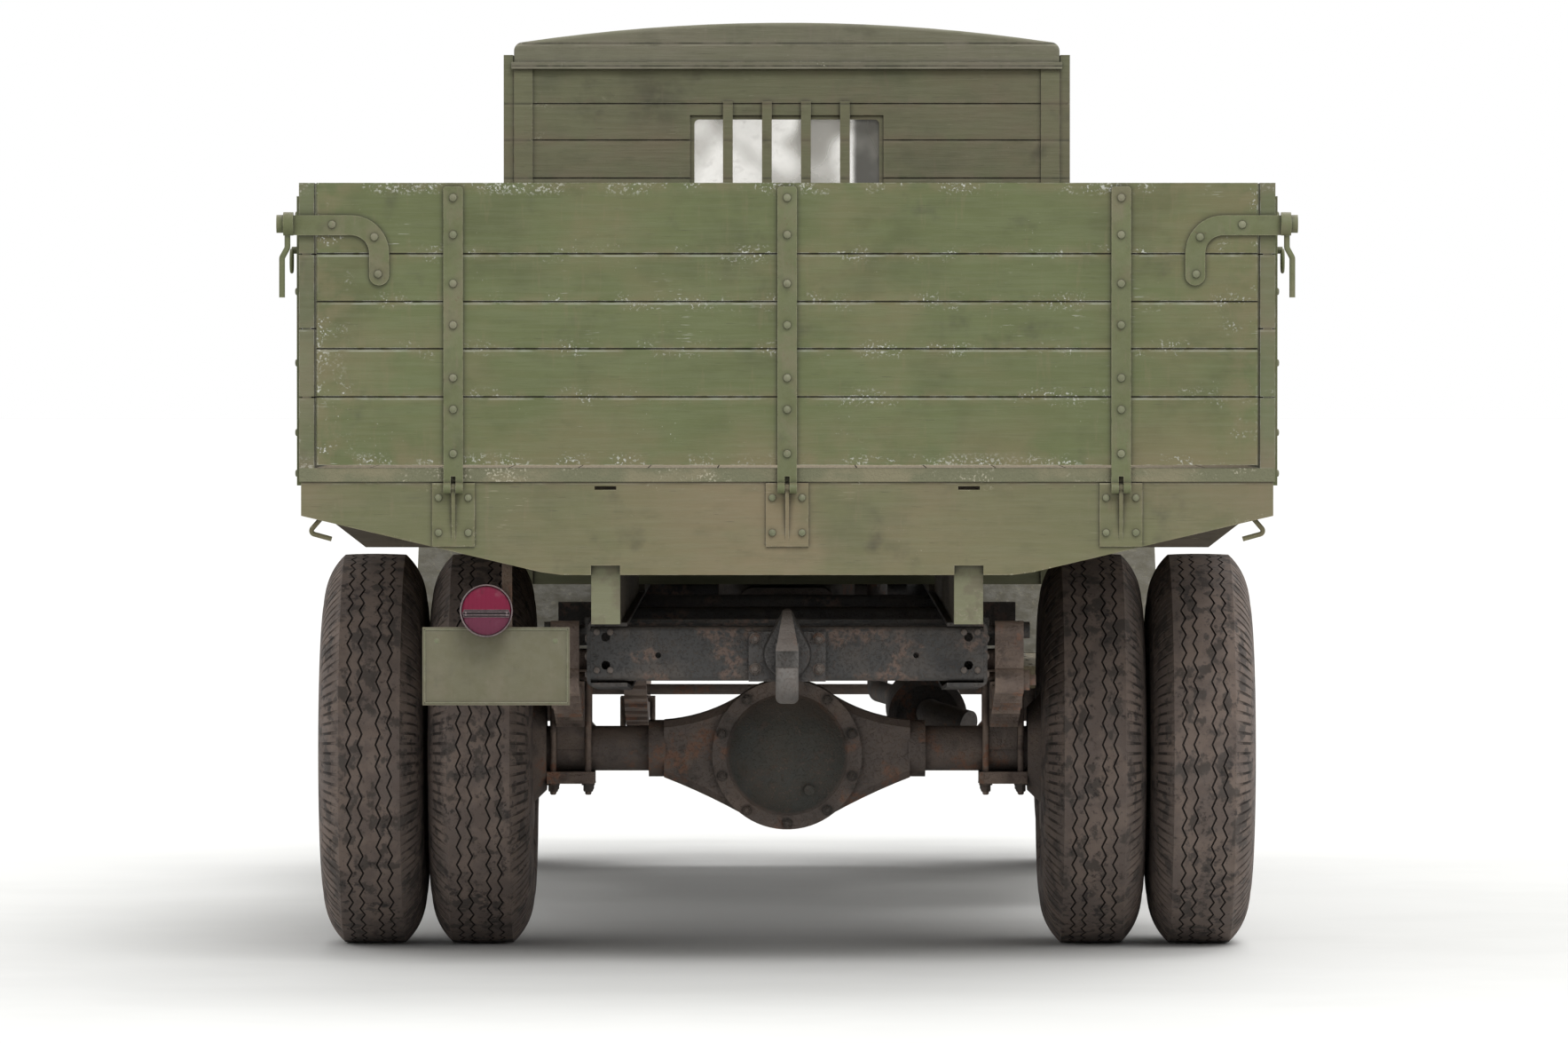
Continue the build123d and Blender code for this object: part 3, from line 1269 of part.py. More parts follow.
with BuildPart() as tail_lamp:
    block(lamp_bar_x, (sill_y[1], sill_y[1] + 6), (plate_z[0] + 40, sill_end_z - 40))
    block(plate_x, (sill_y[1] - 3, sill_y[1]), plate_z)
    rod((tail_lamp_x, tail_lamp_y[0], tail_lamp_z), (tail_lamp_x, sill_y[1], tail_lamp_z), tail_lamp_r)


# ================================================================ tailgate
with BuildPart() as tailgate_boards:
    block((-gate_half, gate_half), gate_y, gate_z)
    for z in gate_joints_z:
        for y in gate_y:
            block((-gate_half - 1, gate_half + 1), span(y, 2 * joint_depth), span(z, joint_width),
                  mode=Mode.SUBTRACT)
    for x in (-gate_half, gate_half):
        for y in gate_y:
            corner = [
                edge for edge in tailgate_boards.edges().filter_by(Axis.Z)
                if abs(edge.center().X - x) < 0.1 and abs(edge.center().Y - y) < 0.1
            ]
            chamfer(corner, length=plank_bevel)

with BuildPart() as tailgate_straps:
    for x in strap_x:
        with BuildSketch(across(gate_y[0])) as strap:
            with BuildLine():
                FilletPolyline(
                    (x - strap_width / 2, gate_axis_z + 6), (x - strap_width / 2, strap_top_z),
                    (x + strap_width / 2, strap_top_z), (x + strap_width / 2, gate_axis_z + 6),
                    radius=strap_corner_r,
                )
                Line((x + strap_width / 2, gate_axis_z + 6), (x - strap_width / 2, gate_axis_z + 6))
            make_face()
        extrude(strap.sketch, amount=strap_thick)
        rod((x - strap_width / 2, gate_axis_y, gate_axis_z), (x + strap_width / 2, gate_axis_y, gate_axis_z),
            knuckle_r)
        rod((x - strap_width, gate_axis_y, gate_axis_z), (x + strap_width, gate_axis_y, gate_axis_z),
            gate_pin_r + seat_gap, mode=Mode.SUBTRACT)
        block(span(x, hinge_rib + 3), (gate_axis_y - 30, gate_axis_y + 30),
              (gate_axis_z - 30, gate_axis_z + 26), mode=Mode.SUBTRACT)

with BuildPart() as tailgate_latches:
    for side in (-1, 1):
        # a flat bar that runs in from the collar, bends down and ends round
        bar_z = sum(latch_z) / 2
        drop_x = side * (gate_half - latch_drop_in)
        with BuildSketch(across(gate_y[0])) as bar:
            with BuildLine() as bar_line:
                FilletPolyline(
                    (side * latch_collar_x[0], bar_z), (drop_x, bar_z), (drop_x, latch_end_z),
                    radius=latch_bend_r,
                )
            trace(bar_line.line, line_width=latch_z[1] - latch_z[0])
            with Locations((drop_x, latch_end_z)):
                Circle((latch_z[1] - latch_z[0]) / 2)
        extrude(bar.sketch, amount=latch_thick)
        rod((side * latch_collar_x[0], latch_collar_y, latch_collar_z),
            (side * latch_collar_x[1], latch_collar_y, latch_collar_z), latch_collar_r)
        rod((side * latch_collar_x[1], latch_collar_y, latch_collar_z),
            (side * latch_nut_end_x, latch_collar_y, latch_collar_z), latch_nut_r)
        # the handle hangs beside the corner, with a jog outwards
        with BuildLine() as handle_line:
            FilletPolyline(
                (side * handle_x[0], latch_collar_y, latch_collar_z),
                (side * handle_x[0], latch_collar_y, handle_jog_z[1]),
                (side * handle_x[1], latch_collar_y, handle_jog_z[0]),
                (side * handle_x[1], latch_collar_y, handle_end_z), radius=handle_bend_r,
            )
        with BuildSketch(Plane(origin=handle_line.line @ 0, z_dir=handle_line.line % 0)) as handle_section:
            Circle(handle_r)
        sweep(handle_section.sketch, path=handle_line.line)


# ================================================================ knuckles and track rod
knuckles = {}
for side_name, side in SIDES:
    with BuildPart() as knuckle:
        x = side * kingpin_x
        eye = (x, front_axle_y + steer_arm_y)
        ears = ((knuckle_ear_z[0], axle_eye_z[0] - seat_gap), (axle_eye_z[1] + seat_gap, knuckle_ear_z[1]))
        for low, high in ears:
            rod((x, front_axle_y, low), (x, front_axle_y, high), knuckle_ear_r)
            block((x, side * knuckle_web_x[1]), span(front_axle_y, 2 * knuckle_web_half), (low, high))
        block((side * knuckle_web_x[0], side * knuckle_web_x[1]), span(front_axle_y, 2 * knuckle_web_half),
              knuckle_ear_z)
        rod((x, front_axle_y, knuckle_ear_z[0]), (x, front_axle_y, knuckle_ear_z[1]), kingpin_r)
        rod((side * knuckle_web_x[0], front_axle_y, wheel_centre_z),
            (side * spindle_end_x, front_axle_y, wheel_centre_z), spindle_r)
        rod((side * front_shield_x, front_axle_y, wheel_centre_z),
            (side * (front_shield_x + front_shield_thick), front_axle_y, wheel_centre_z), front_shield_r)
        arm_root = (side * (knuckle_web_x[0] + 8), front_axle_y - knuckle_web_half + 12, steer_arm_z[0])
        rod(arm_root, (eye[0], eye[1], steer_arm_z[1]), steer_arm_r)
        rod((eye[0], eye[1], steer_arm_z[0]), (eye[0], eye[1], tie_rod_z - tie_eye_half - seat_gap),
            steer_arm_r + 4)
        rod((eye[0], eye[1], steer_arm_z[0]), (eye[0], eye[1], tie_rod_z + tie_eye_half), tie_pin_r)
    knuckles[side_name] = knuckle

with BuildPart() as tie_rod:
    eye_x = kingpin_x
    eye_y = front_axle_y + steer_arm_y
    rod((-eye_x, eye_y, tie_rod_z), (eye_x, eye_y, tie_rod_z), tie_rod_r)
    for side in (-1, 1):
        rod((side * eye_x, eye_y, tie_rod_z - tie_eye_half), (side * eye_x, eye_y, tie_rod_z + tie_eye_half),
            tie_eye_r)
    for side in (-1, 1):
        rod((side * eye_x, eye_y, tie_rod_z - 50), (side * eye_x, eye_y, tie_rod_z + 50),
            tie_pin_r + seat_gap, mode=Mode.SUBTRACT)


# ================================================================ wheels and tyres
def tyre_ring(centre_x):
    """One tyre as a solid ring, turned about the axle line."""
    foot = bead_half - rim_flange_thick - bead_gap
    with BuildSketch(Plane.XY) as section:
        with BuildLine():
            Line((centre_x - foot, bead_r), (centre_x + foot, bead_r))
            for way in (-1, 1):
                Line((centre_x + way * foot, bead_r), (centre_x + way * foot, bead_lip_r))
                ThreePointArc((centre_x + way * foot, bead_lip_r), (centre_x + way * wall_low_half, wall_low_r),
                              (centre_x + way * wall_half, wall_r))
                ThreePointArc((centre_x + way * wall_half, wall_r), (centre_x + way * wall_high_half, wall_high_r),
                              (centre_x + way * shoulder_half, shoulder_r))
                Line((centre_x + way * shoulder_half, shoulder_r), (centre_x + way * tread_half, tread_edge_r))
            ThreePointArc((centre_x - tread_half, tread_edge_r), (centre_x, tyre_r),
                          (centre_x + tread_half, tread_edge_r))
        make_face()
    revolve(section.sketch, axis=Axis.X)


def rim_ring(centre_x):
    """Rim base with its two flanges, as a ring about the axle line."""
    low = rim_seat_r - rim_thick
    lip = bead_half - rim_flange_thick
    lathe((
        (centre_x - bead_half, low), (centre_x + bead_half, low), (centre_x + bead_half, rim_flange_r),
        (centre_x + lip, rim_flange_r), (centre_x + lip, rim_seat_r), (centre_x - lip, rim_seat_r),
        (centre_x - lip, rim_flange_r), (centre_x - bead_half, rim_flange_r),
    ))


def hand_holes(x):
    """Round holes through a wheel's disc, in a ring about the axle line."""
    for number in range(hand_hole_count):
        turn = radians(360 * number / hand_hole_count)
        y = hand_hole_ring * cos(turn)
        z = hand_hole_ring * sin(turn)
        rod((x[0], y, z), (x[1], y, z), hand_hole_r, mode=Mode.SUBTRACT)


def onto_axle(piece, axle_y, side):
    """Moves a wheel made about the origin onto its axle, on one side of the truck."""
    turned = piece if side > 0 else mirror(piece, about=Plane.YZ, mode=Mode.PRIVATE)
    return Pos(0, axle_y, wheel_centre_z) * turned


with BuildPart() as front_wheel_form:
    rim_ring(front_wheel_x)
    lathe((
        (front_disc_x, hub_r - 10), (front_disc_x + disc_thick, hub_r - 10),
        (front_disc_x + disc_thick, disc_flat_r), (front_wheel_x + 52, rim_seat_r - 4),
        (front_wheel_x + 40, rim_seat_r - 4), (front_disc_x, disc_flat_r + 4),
    ))
    lathe((
        (front_hub_x[0], spindle_r + axle_gap), (spindle_end_x + 4, spindle_r + axle_gap),
        (spindle_end_x + 4, 0), (front_hub_x[1], 0), (front_hub_x[1], hub_cap_r),
        (front_disc_x + disc_thick + 10, hub_r), (front_hub_x[0], hub_r),
    ))
    hand_holes((front_drum_x[1] + drum_wall + 2, front_wheel_x + bead_half - 10))
    lathe((
        (front_drum_x[0], drum_r - drum_wall), (front_drum_x[1], drum_r - drum_wall),
        (front_drum_x[1], hub_r - 4), (front_drum_x[1] + drum_wall, hub_r - 4),
        (front_drum_x[1] + drum_wall, drum_r), (front_drum_x[0], drum_r),
    ))

with BuildPart() as rear_wheel_form:
    twin_x = (rear_inner_x + rear_outer_x) / 2
    rim_ring(rear_inner_x)
    rim_ring(rear_outer_x)
    lathe((
        (twin_x - disc_thick, hub_r - 10), (twin_x, hub_r - 10), (twin_x, disc_flat_r),
        (rear_inner_x + 62, rim_seat_r - 4), (rear_inner_x + 50, rim_seat_r - 4),
        (twin_x - disc_thick, disc_flat_r - 4),
    ))
    lathe((
        (twin_x, hub_r - 10), (twin_x + disc_thick, hub_r - 10), (twin_x + disc_thick, disc_flat_r - 4),
        (rear_outer_x - 50, rim_seat_r - 4), (rear_outer_x - 62, rim_seat_r - 4), (twin_x, disc_flat_r),
    ))
    hand_holes((rear_drum_x[1] + drum_wall + 2, rear_outer_x - 20))
    lathe((
        (rear_hub_x[0], rear_spindle_r + axle_gap), (rear_spindle_end_x + 4, rear_spindle_r + axle_gap),
        (rear_spindle_end_x + 4, 0), (rear_hub_x[1], 0), (rear_hub_x[1], hub_cap_r), (940, hub_r),
        (rear_hub_x[0], hub_r),
    ))
    lathe((
        (rear_drum_x[0], drum_r - drum_wall), (rear_drum_x[1], drum_r - drum_wall),
        (rear_drum_x[1], hub_r - 4), (rear_drum_x[1] + drum_wall, hub_r - 4),
        (rear_drum_x[1] + drum_wall, drum_r), (rear_drum_x[0], drum_r),
    ))

with BuildPart() as front_tyre_form:
    tyre_ring(front_wheel_x)

with BuildPart() as rear_tyre_form:
    tyre_ring(rear_inner_x)
    tyre_ring(rear_outer_x)

wheel_table = (
    # name, form, axle_y
    ("wheel_front", front_wheel_form, front_axle_y),
    ("wheel_rear", rear_wheel_form, rear_axle_y),
    ("tyre_front", front_tyre_form, front_axle_y),
    ("tyre_rear", rear_tyre_form, rear_axle_y),
)
wheels = {}
for wheel_name, form, axle_y in wheel_table:
    for side_name, side in SIDES:
        with BuildPart() as wheel:
            add(onto_axle(form.part, axle_y, side))
        wheels[f"{wheel_name}_{side_name}"] = wheel


# ================================================================ files
os.makedirs("parts", exist_ok=True)
single_pieces = {
    "frame": frame, "tow_hook": tow_hook, "rear_springs": rear_springs, "front_springs": front_springs,
    "front_axle": front_axle, "rear_axle": rear_axle, "powertrain": powertrain, "exhaust": exhaust,
    "radiator": radiator, "cowl": cowl, "cab_floor": cab_floor, "cab_back_wall": cab_back_wall,
    "cab_pillars": cab_pillars, "cab_roof": cab_roof, "cab_glass": cab_glass,
    "seat_cushions": seat_cushions, "steering_column": steering_column,
    "running_boards": running_boards, "front_fenders": front_fenders, "front_bumper": front_bumper,
    "headlamps": headlamps, "bed_floor": bed_floor, "bed_sides": bed_sides, "bed_bearers": bed_bearers,
    "bed_irons": bed_irons, "rear_sill": rear_sill, "tail_lamp": tail_lamp,
    "tailgate_boards": tailgate_boards, "tailgate_straps": tailgate_straps,
    "tailgate_latches": tailgate_latches, "tie_rod": tie_rod,
}
for piece_name, piece in single_pieces.items():
    save(piece, piece_name)
for group_name, group in (("bonnet", bonnets), ("door", doors), ("knuckle", knuckles)):
    for side_name, piece in group.items():
        save(piece, f"{group_name}_{side_name}")
for piece_name, piece in wheels.items():
    save(piece, piece_name)
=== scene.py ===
import cmath
import json
import math
from itertools import product

import bmesh
import bpy
from bpy.props import FloatProperty, IntProperty, PointerProperty, StringProperty
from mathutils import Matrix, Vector


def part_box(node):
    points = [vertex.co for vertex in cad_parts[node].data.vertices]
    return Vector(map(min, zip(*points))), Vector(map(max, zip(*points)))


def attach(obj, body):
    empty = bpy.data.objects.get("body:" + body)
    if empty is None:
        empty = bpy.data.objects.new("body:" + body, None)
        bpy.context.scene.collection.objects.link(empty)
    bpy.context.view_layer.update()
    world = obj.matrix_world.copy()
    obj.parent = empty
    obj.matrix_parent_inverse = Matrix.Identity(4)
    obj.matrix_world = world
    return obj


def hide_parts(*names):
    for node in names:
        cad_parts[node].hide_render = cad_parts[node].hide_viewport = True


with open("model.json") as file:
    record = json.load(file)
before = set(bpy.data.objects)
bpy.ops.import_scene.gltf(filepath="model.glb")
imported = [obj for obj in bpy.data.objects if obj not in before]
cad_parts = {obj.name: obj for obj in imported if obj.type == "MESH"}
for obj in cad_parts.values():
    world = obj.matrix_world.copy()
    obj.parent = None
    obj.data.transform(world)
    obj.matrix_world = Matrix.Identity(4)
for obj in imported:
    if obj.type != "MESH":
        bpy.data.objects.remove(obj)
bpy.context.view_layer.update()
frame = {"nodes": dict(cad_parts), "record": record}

bl_info = {
    "name": "Military Cargo Truck",
    "version": (1, 1, 0),
    "blender": (4, 5, 0),
    "location": "3D View > Sidebar > Truck",
    "description": "Dresses the packed truck in its paint, rubber, wood, bolts, tread and cushions",
    "category": "Object",
}

SIDES = (("left", -1), ("right", 1))
REAR = (0, -1, 0)
AXLE_HEIGHT = 0.4557
STRAP_PLACES = (-0.740, 0.0, 0.740)  # x of the tailgate's straps and of their hinge plates

# joints between planks, in millimetres over the floor
GATE_JOINTS = (1286, 1392.5, 1497, 1603)
SIDE_JOINTS = (1285, 1437, 1602)
CAB_JOINTS = (2007, 1915.5, 1820, 1724, 1628, 1532, 1436, 1340, 1244, 1148)
CAB_REAR_MM = 160  # y of the cab's rear face
LAMP_BAND_MM = 803  # height at which the lamp's crimson turns to mauve

CAMERA_X = -0.007
CAMERA_TILT = 0.946  # degrees down
LENS_MM = 244.8
# name, direction of its light, share of the light, how wide it looks in degrees
SOFTBOXES = (
    ("softbox_rear", (-0.24, 0.85, -1.0), 0.48, 26),
    ("softbox_front", (-0.24, -0.7, -1.0), 0.52, 40),
)


# ---------------- finishes
def linear(hex_colour, alpha=1.0):
    """An sRGB hex colour as the linear values that a socket takes."""
    channels = [int(hex_colour[i:i + 2], 16) / 255 for i in (1, 3, 5)]
    return tuple(c / 12.92 if c <= 0.04045 else ((c + 0.055) / 1.055) ** 2.4 for c in channels) + (alpha,)


class Finish:
    """A material in the making: its nodes, the colour so far and the relief so far."""

    def __init__(self, name, base, roughness, **shader_values):
        self.material = bpy.data.materials.new(name)
        self.material.use_nodes = True
        self.tree = self.material.node_tree
        self.shader = self.tree.nodes["Principled BSDF"]
        self.shader.inputs["Base Color"].default_value = linear(base)
        self.shader.inputs["Roughness"].default_value = roughness
        for socket, value in shader_values.items():
            self.shader.inputs[socket.replace("_", " ")].default_value = value
        self.where = self.add("ShaderNodeTexCoord", output="Object")
        self.colour = linear(base)
        self.relief = None

    def add(self, kind, inputs=None, output=None, stops=(), **settings):
        """Adds one node with its settings, ramp stops and inputs, and gives the output in use."""
        node = self.tree.nodes.new(kind)
        for name, value in settings.items():
            setattr(node, name, value)
        if stops:
            while len(node.color_ramp.elements) < len(stops):
                node.color_ramp.elements.new(0.5)
            for element, (place, shade) in zip(node.color_ramp.elements, stops):
                element.position = place
                element.color = (shade, shade, shade, 1)
        for socket, value in (inputs or {}).items():
            if isinstance(value, bpy.types.NodeSocket):
                self.tree.links.new(value, node.inputs[socket])
            else:
                node.inputs[socket].default_value = value
        if output:
            return node.outputs[output]
        return next(way for way in node.outputs if way.enabled)

    # ---- where a coat lies, as a share from 0 to 1
    def patches(self, size_mm, low, high, stretch=(1, 1, 1), detail=4.0, offset=0.0):
        """Blotches about size_mm across, fewer the higher low and high are. An offset moves them."""
        laid = self.add("ShaderNodeMapping", {
            "Vector": self.where, "Location": (offset, offset, offset), "Scale": stretch})
        grain = self.add("ShaderNodeTexNoise", {
            "Vector": laid, "Scale": 1000 / size_mm, "Detail": detail, "Roughness": 0.6}, output="Fac")
        return self.add("ShaderNodeMapRange", {"Value": grain, "From Min": low, "From Max": high},
                        interpolation_type="SMOOTHSTEP")

    def edges(self, width_mm, low=0.02, high=0.16):
        """Outer and inner corners: where a rounded corner's normal leaves the face's."""
        rounded = self.add("ShaderNodeBevel", {"Radius": width_mm / 1000}, samples=3)
        flat = self.add("ShaderNodeNewGeometry", output="Normal")
        same = self.add("ShaderNodeVectorMath", {0: rounded, 1: flat}, output="Value",
                        operation="DOT_PRODUCT")
        return self.add("ShaderNodeMapRange", {"Value": same, "From Min": 1 - low, "From Max": 1 - high})

    def crevice_shade(self, reach_mm):
        """Corners and gaps that light reaches least: the share where shade is painted into the colour."""
        openness = self.add("ShaderNodeAmbientOcclusion", {"Distance": reach_mm / 1000}, output="AO",
                            samples=4)
        return self.add("ShaderNodeMapRange", {"Value": openness, "From Min": 0.95, "From Max": 0.35})

    def along(self, axis, vector, low, high, **settings):
        """Grows from 0 to 1 as one part of a vector goes from low to high."""
        part = self.add("ShaderNodeSeparateXYZ", {"Vector": vector}, output=axis)
        return self.add("ShaderNodeMapRange", {"Value": part, "From Min": low, "From Max": high}, **settings)

    def facing(self, axis, low, high):
        """Faces that look along an axis, by their normal."""
        return self.along(axis, self.add("ShaderNodeNewGeometry", output="Normal"), low, high)

    def beyond(self, axis, start_mm, end_mm):
        """Grows from 0 to 1 between two places along an axis."""
        return self.along(axis, self.where, start_mm / 1000, end_mm / 1000, interpolation_type="SMOOTHSTEP")

    def near(self, axis, places_mm, reach_mm):
        """Bands on both sides of some places along an axis."""
        low = min(places_mm) - 2 * reach_mm
        extent = max(places_mm) + 2 * reach_mm - low
        share = self.along(axis, self.where, low / 1000, (low + extent) / 1000)
        stops = []
        for place in sorted(places_mm):
            middle = (place - low) / extent
            reach = reach_mm / extent
            stops += [(middle - reach, 0), (middle, 1), (middle + reach, 0)]
        return self.add("ShaderNodeValToRGB", {"Fac": share}, stops=sorted(stops))

    def around(self, centre_mm, from_mm, to_mm):
        """Grows from 0 to 1 between two distances from a point."""
        away = self.add("ShaderNodeVectorMath", {0: self.where, 1: [part / 1000 for part in centre_mm]},
                        output="Value", operation="DISTANCE")
        return self.add("ShaderNodeMapRange", {
            "Value": away, "From Min": from_mm / 1000, "From Max": to_mm / 1000})

    def together(self, *shares, operation="MULTIPLY"):
        """Several shares as one: where all of them meet, or with ADD where any of them is."""
        whole = shares[0]
        for share in shares[1:]:
            whole = self.add("ShaderNodeMath", {0: whole, 1: share}, operation=operation, use_clamp=True)
        return whole

    # ---- what is laid on
    def coat(self, colour, strength, *shares):
        """Lays a colour over what is there, where all the shares meet."""
        share = self.together(*shares, strength)
        self.colour = self.add("ShaderNodeMix", {"Factor": share, "A": self.colour, "B": linear(colour)},
                               data_type="RGBA")

    def mottle(self, colour, strength, *blotches, **pattern):
        """Lays a colour in blotches, given as patches has them."""
        self.coat(colour, strength, self.patches(*blotches, **pattern))

    def raise_up(self, height, depth_mm):
        """Adds relief, depth_mm from its lowest to its highest."""
        inputs = {"Height": height, "Distance": depth_mm / 1000, "Strength": 1.0}
        if self.relief:
            inputs["Normal"] = self.relief
        self.relief = self.add("ShaderNodeBump", inputs)

    def gloss(self, share, matt, glossy):
        """Roughness from one value to another with a share."""
        rough = self.add("ShaderNodeMapRange", {"Value": share, "To Min": matt, "To Max": glossy})
        self.tree.links.new(rough, self.shader.inputs["Roughness"])

    def done(self):
        """Links the colour and the relief to the shader."""
        self.tree.links.new(self.colour, self.shader.inputs["Base Color"])
        if self.relief:
            self.tree.links.new(self.relief, self.shader.inputs["Normal"])
        return self.material


UPWARD = ("Z", 0.35, 0.95)  # faces that dust settles on
SHADED_BACKWARD = ("Y", -0.1, -0.5)  # faces that look to the rear; under the bed they get painted shade
PLANK_GRAIN = (0.07, 0.07, 1.0)  # planks run level, so their grain is long in x and y
BOARD_GRAIN = (1.0, 0.06, 1.0)  # sawn boards run along the truck
# dark brown-grey for oil and soot smudges, also laid as painted shade in corners and gaps
GRIME_AND_SHADE = "#35322A"


def brushed_planks(name, base, light, dust, dark, fleck, joints, ends_mm=(), borders=(), painted_end=None,
                   worn=0.5, centre_dust=None, soot=None, proud_mm=None):
    """Softwood planks under brushed oil paint: matt, streaked along the grain, chipped at the joints."""
    paint = Finish(name, base, 0.78)
    paint.mottle(light, 0.5, 420, 0.42, 0.64, (0.8, 0.8, 1))
    paint.mottle(dust, 0.55, 330, 0.47, 0.68, (0.8, 0.8, 1), offset=3.0)
    paint.mottle(dark, 0.55, 240, 0.5, 0.68, offset=7.0)
    if centre_dust:
        colour, half_width = centre_dust
        paint.coat(colour, 0.95, paint.near("X", (0,), half_width),
                   paint.patches(330, 0.3, 0.55, offset=21.0))
    if soot:
        centre, inner, outer = soot
        paint.coat(GRIME_AND_SHADE, 0.6, paint.around(centre, outer, inner), paint.patches(60, 0.25, 0.6, offset=25.0))
    if proud_mm:
        # bars that stand out of the wall keep a fresher coat
        paint.coat(light, 0.7, paint.beyond("Y", proud_mm + 4, proud_mm))
    # uneven brushing and rubbing within a plank
    paint.mottle(light, 0.4, 65, 0.45, 0.7, (0.6, 0.6, 1), offset=12.0)
    paint.mottle(dark, 0.3, 45, 0.5, 0.72, (0.5, 0.5, 1), offset=13.0)
    streaks = paint.patches(9, 0.35, 0.7, PLANK_GRAIN, detail=6.0)
    paint.coat(light, 0.14, streaks)
    paint.mottle(dark, 0.22, 5, 0.6, 0.72, PLANK_GRAIN, detail=3.0, offset=5.0)
    # long thin checks in the wood, seen as dark hairs, and runs of dirty water under the joints
    paint.mottle(GRIME_AND_SHADE, 0.5, 2.6, 0.70, 0.74, (0.035, 0.035, 1), detail=2.0, offset=9.0)
    paint.mottle(dust, 0.3, 16, 0.56, 0.72, (1, 1, 0.16), offset=14.0)
    # smudges of oil and soot
    paint.mottle(GRIME_AND_SHADE, 0.6, 150, 0.58, 0.8, offset=15.0)
    # each joint is a dark line, and the plank under it has a painted highlight on its arris, in patches
    paint.coat(fleck, 0.42, paint.near("Z", [joint - 5 for joint in joints], 2.6),
               paint.patches(90, 0.38, 0.6, offset=16.0))
    paint.coat("#1F1D17", 0.9, paint.near("Z", joints, 3.0))
    rims = paint.together(paint.near("Z", joints, 24), paint.edges(9), operation="ADD")
    if ends_mm:
        rims = paint.together(rims, paint.near("X", ends_mm, 95), operation="ADD")
    if borders:
        outermost = paint.near("Z", borders, 22)
        if ends_mm:
            outermost = paint.together(outermost, paint.near("X", ends_mm, 70), operation="ADD")
        rims = paint.together(rims, outermost, operation="ADD")
        # the outer edges are knocked most: nearly every cluster there has lost its paint
        paint.coat(fleck, 0.85, paint.patches(6, 0.54, 0.6, detail=5.0, offset=22.0), outermost,
                   paint.patches(130, 0.53, 0.6, offset=23.0))
        # splashed dirt dries on the lowest plank
        paint.coat(dust, 0.75, paint.near("Z", borders[:1], 120), paint.patches(170, 0.4, 0.62, offset=24.0))
    paint.coat(dust, 0.5, rims, paint.patches(60, 0.4, 0.6, offset=6.0))
    # paint flakes off in clusters near rims, and the pale undercoat shows
    grit = paint.patches(6.5, 0.55, 0.60, (0.9, 0.9, 1), detail=5.0, offset=4.0)
    clusters = paint.patches(95, 0.64 - 0.12 * worn, 0.72 - 0.12 * worn, (0.7, 0.7, 1), offset=2.0)
    chips = paint.together(grit, rims, clusters)
    paint.coat(fleck, 0.85, chips)
    # stray chips and scratches in the open field
    paint.coat(fleck, 0.65, paint.patches(5.5, 0.66, 0.71, detail=5.0, offset=8.0),
               paint.patches(130, 0.55, 0.64, offset=1.0))
    paint.coat(fleck, 0.4, paint.patches(2.2, 0.69, 0.72, (0.06, 0.06, 1), detail=1.0, offset=17.0),
               paint.patches(190, 0.58, 0.66, offset=18.0))
    # pale edges in patches: chipped paint, and a painted highlight on the arrises
    paint.coat(fleck, 0.55, paint.edges(3, 0.05, 0.3), paint.patches(40, 0.44, 0.58, offset=11.0))
    if painted_end:
        colour, start, full = painted_end
        end = paint.beyond("Y", start, full)
        paint.coat(colour, 1.0, end)
        paint.coat(fleck, 0.7, end, grit, paint.patches(60, 0.55, 0.62, offset=19.0))
        paint.coat(dust, 0.5, end, paint.patches(45, 0.45, 0.62, offset=20.0))
    # painted shade in corners and gaps
    paint.coat(GRIME_AND_SHADE, 0.8, paint.crevice_shade(12))
    paint.raise_up(streaks, 0.3)
    paint.raise_up(chips, -0.6)
    paint.gloss(streaks, 0.86, 0.68)
    return paint.done()


def brushed_steel_paint(name, base, light, dust, dark, rust, fleck="#A9A68C", bare_below_mm=None):
    """Sheet and bar steel under brushed paint: matt, edges rubbed light, rust where it is chipped."""
    paint = Finish(name, base, 0.66)
    paint.mottle(light, 0.65, 210, 0.45, 0.6)
    paint.mottle(dust, 0.6, 120, 0.48, 0.66, offset=2.0)
    paint.mottle(dark, 0.5, 60, 0.54, 0.72, offset=5.0)
    paint.mottle(light, 0.3, 22, 0.5, 0.7, offset=10.0)
    # painted shade under the bed, on what looks to the rear
    paint.coat("#26241F", 0.93, paint.beyond("Z", 960, 840), paint.facing(*SHADED_BACKWARD),
               paint.beyond("Y", -2600, -2500))
    if bare_below_mm:
        bare = paint.beyond("Z", bare_below_mm, bare_below_mm - 5)
        paint.coat("#4E4A45", 0.9, bare)
        paint.coat("#6A6460", 0.7, bare, paint.patches(9, 0.5, 0.65, offset=11.0))
    # runs of rain down the sheets
    paint.mottle(dust, 0.4, 14, 0.56, 0.7, (1, 1, 0.14), offset=12.0)
    grit = paint.patches(3.5, 0.62, 0.68, offset=4.0)
    paint.coat(rust, 0.75, grit, paint.patches(50, 0.5, 0.64, offset=9.0))
    paint.coat(fleck, 0.75, paint.edges(2.5, 0.04, 0.22), paint.patches(26, 0.34, 0.52, offset=6.0))
    paint.coat(dust, 0.5, paint.facing(*UPWARD))
    # painted shade in corners and gaps
    paint.coat("#2A2820", 0.75, paint.crevice_shade(10))
    paint.raise_up(paint.patches(14, 0.3, 0.7), 0.35)
    paint.raise_up(grit, -0.2)
    paint.gloss(paint.patches(35, 0.35, 0.65), 0.78, 0.55)
    return paint.done()


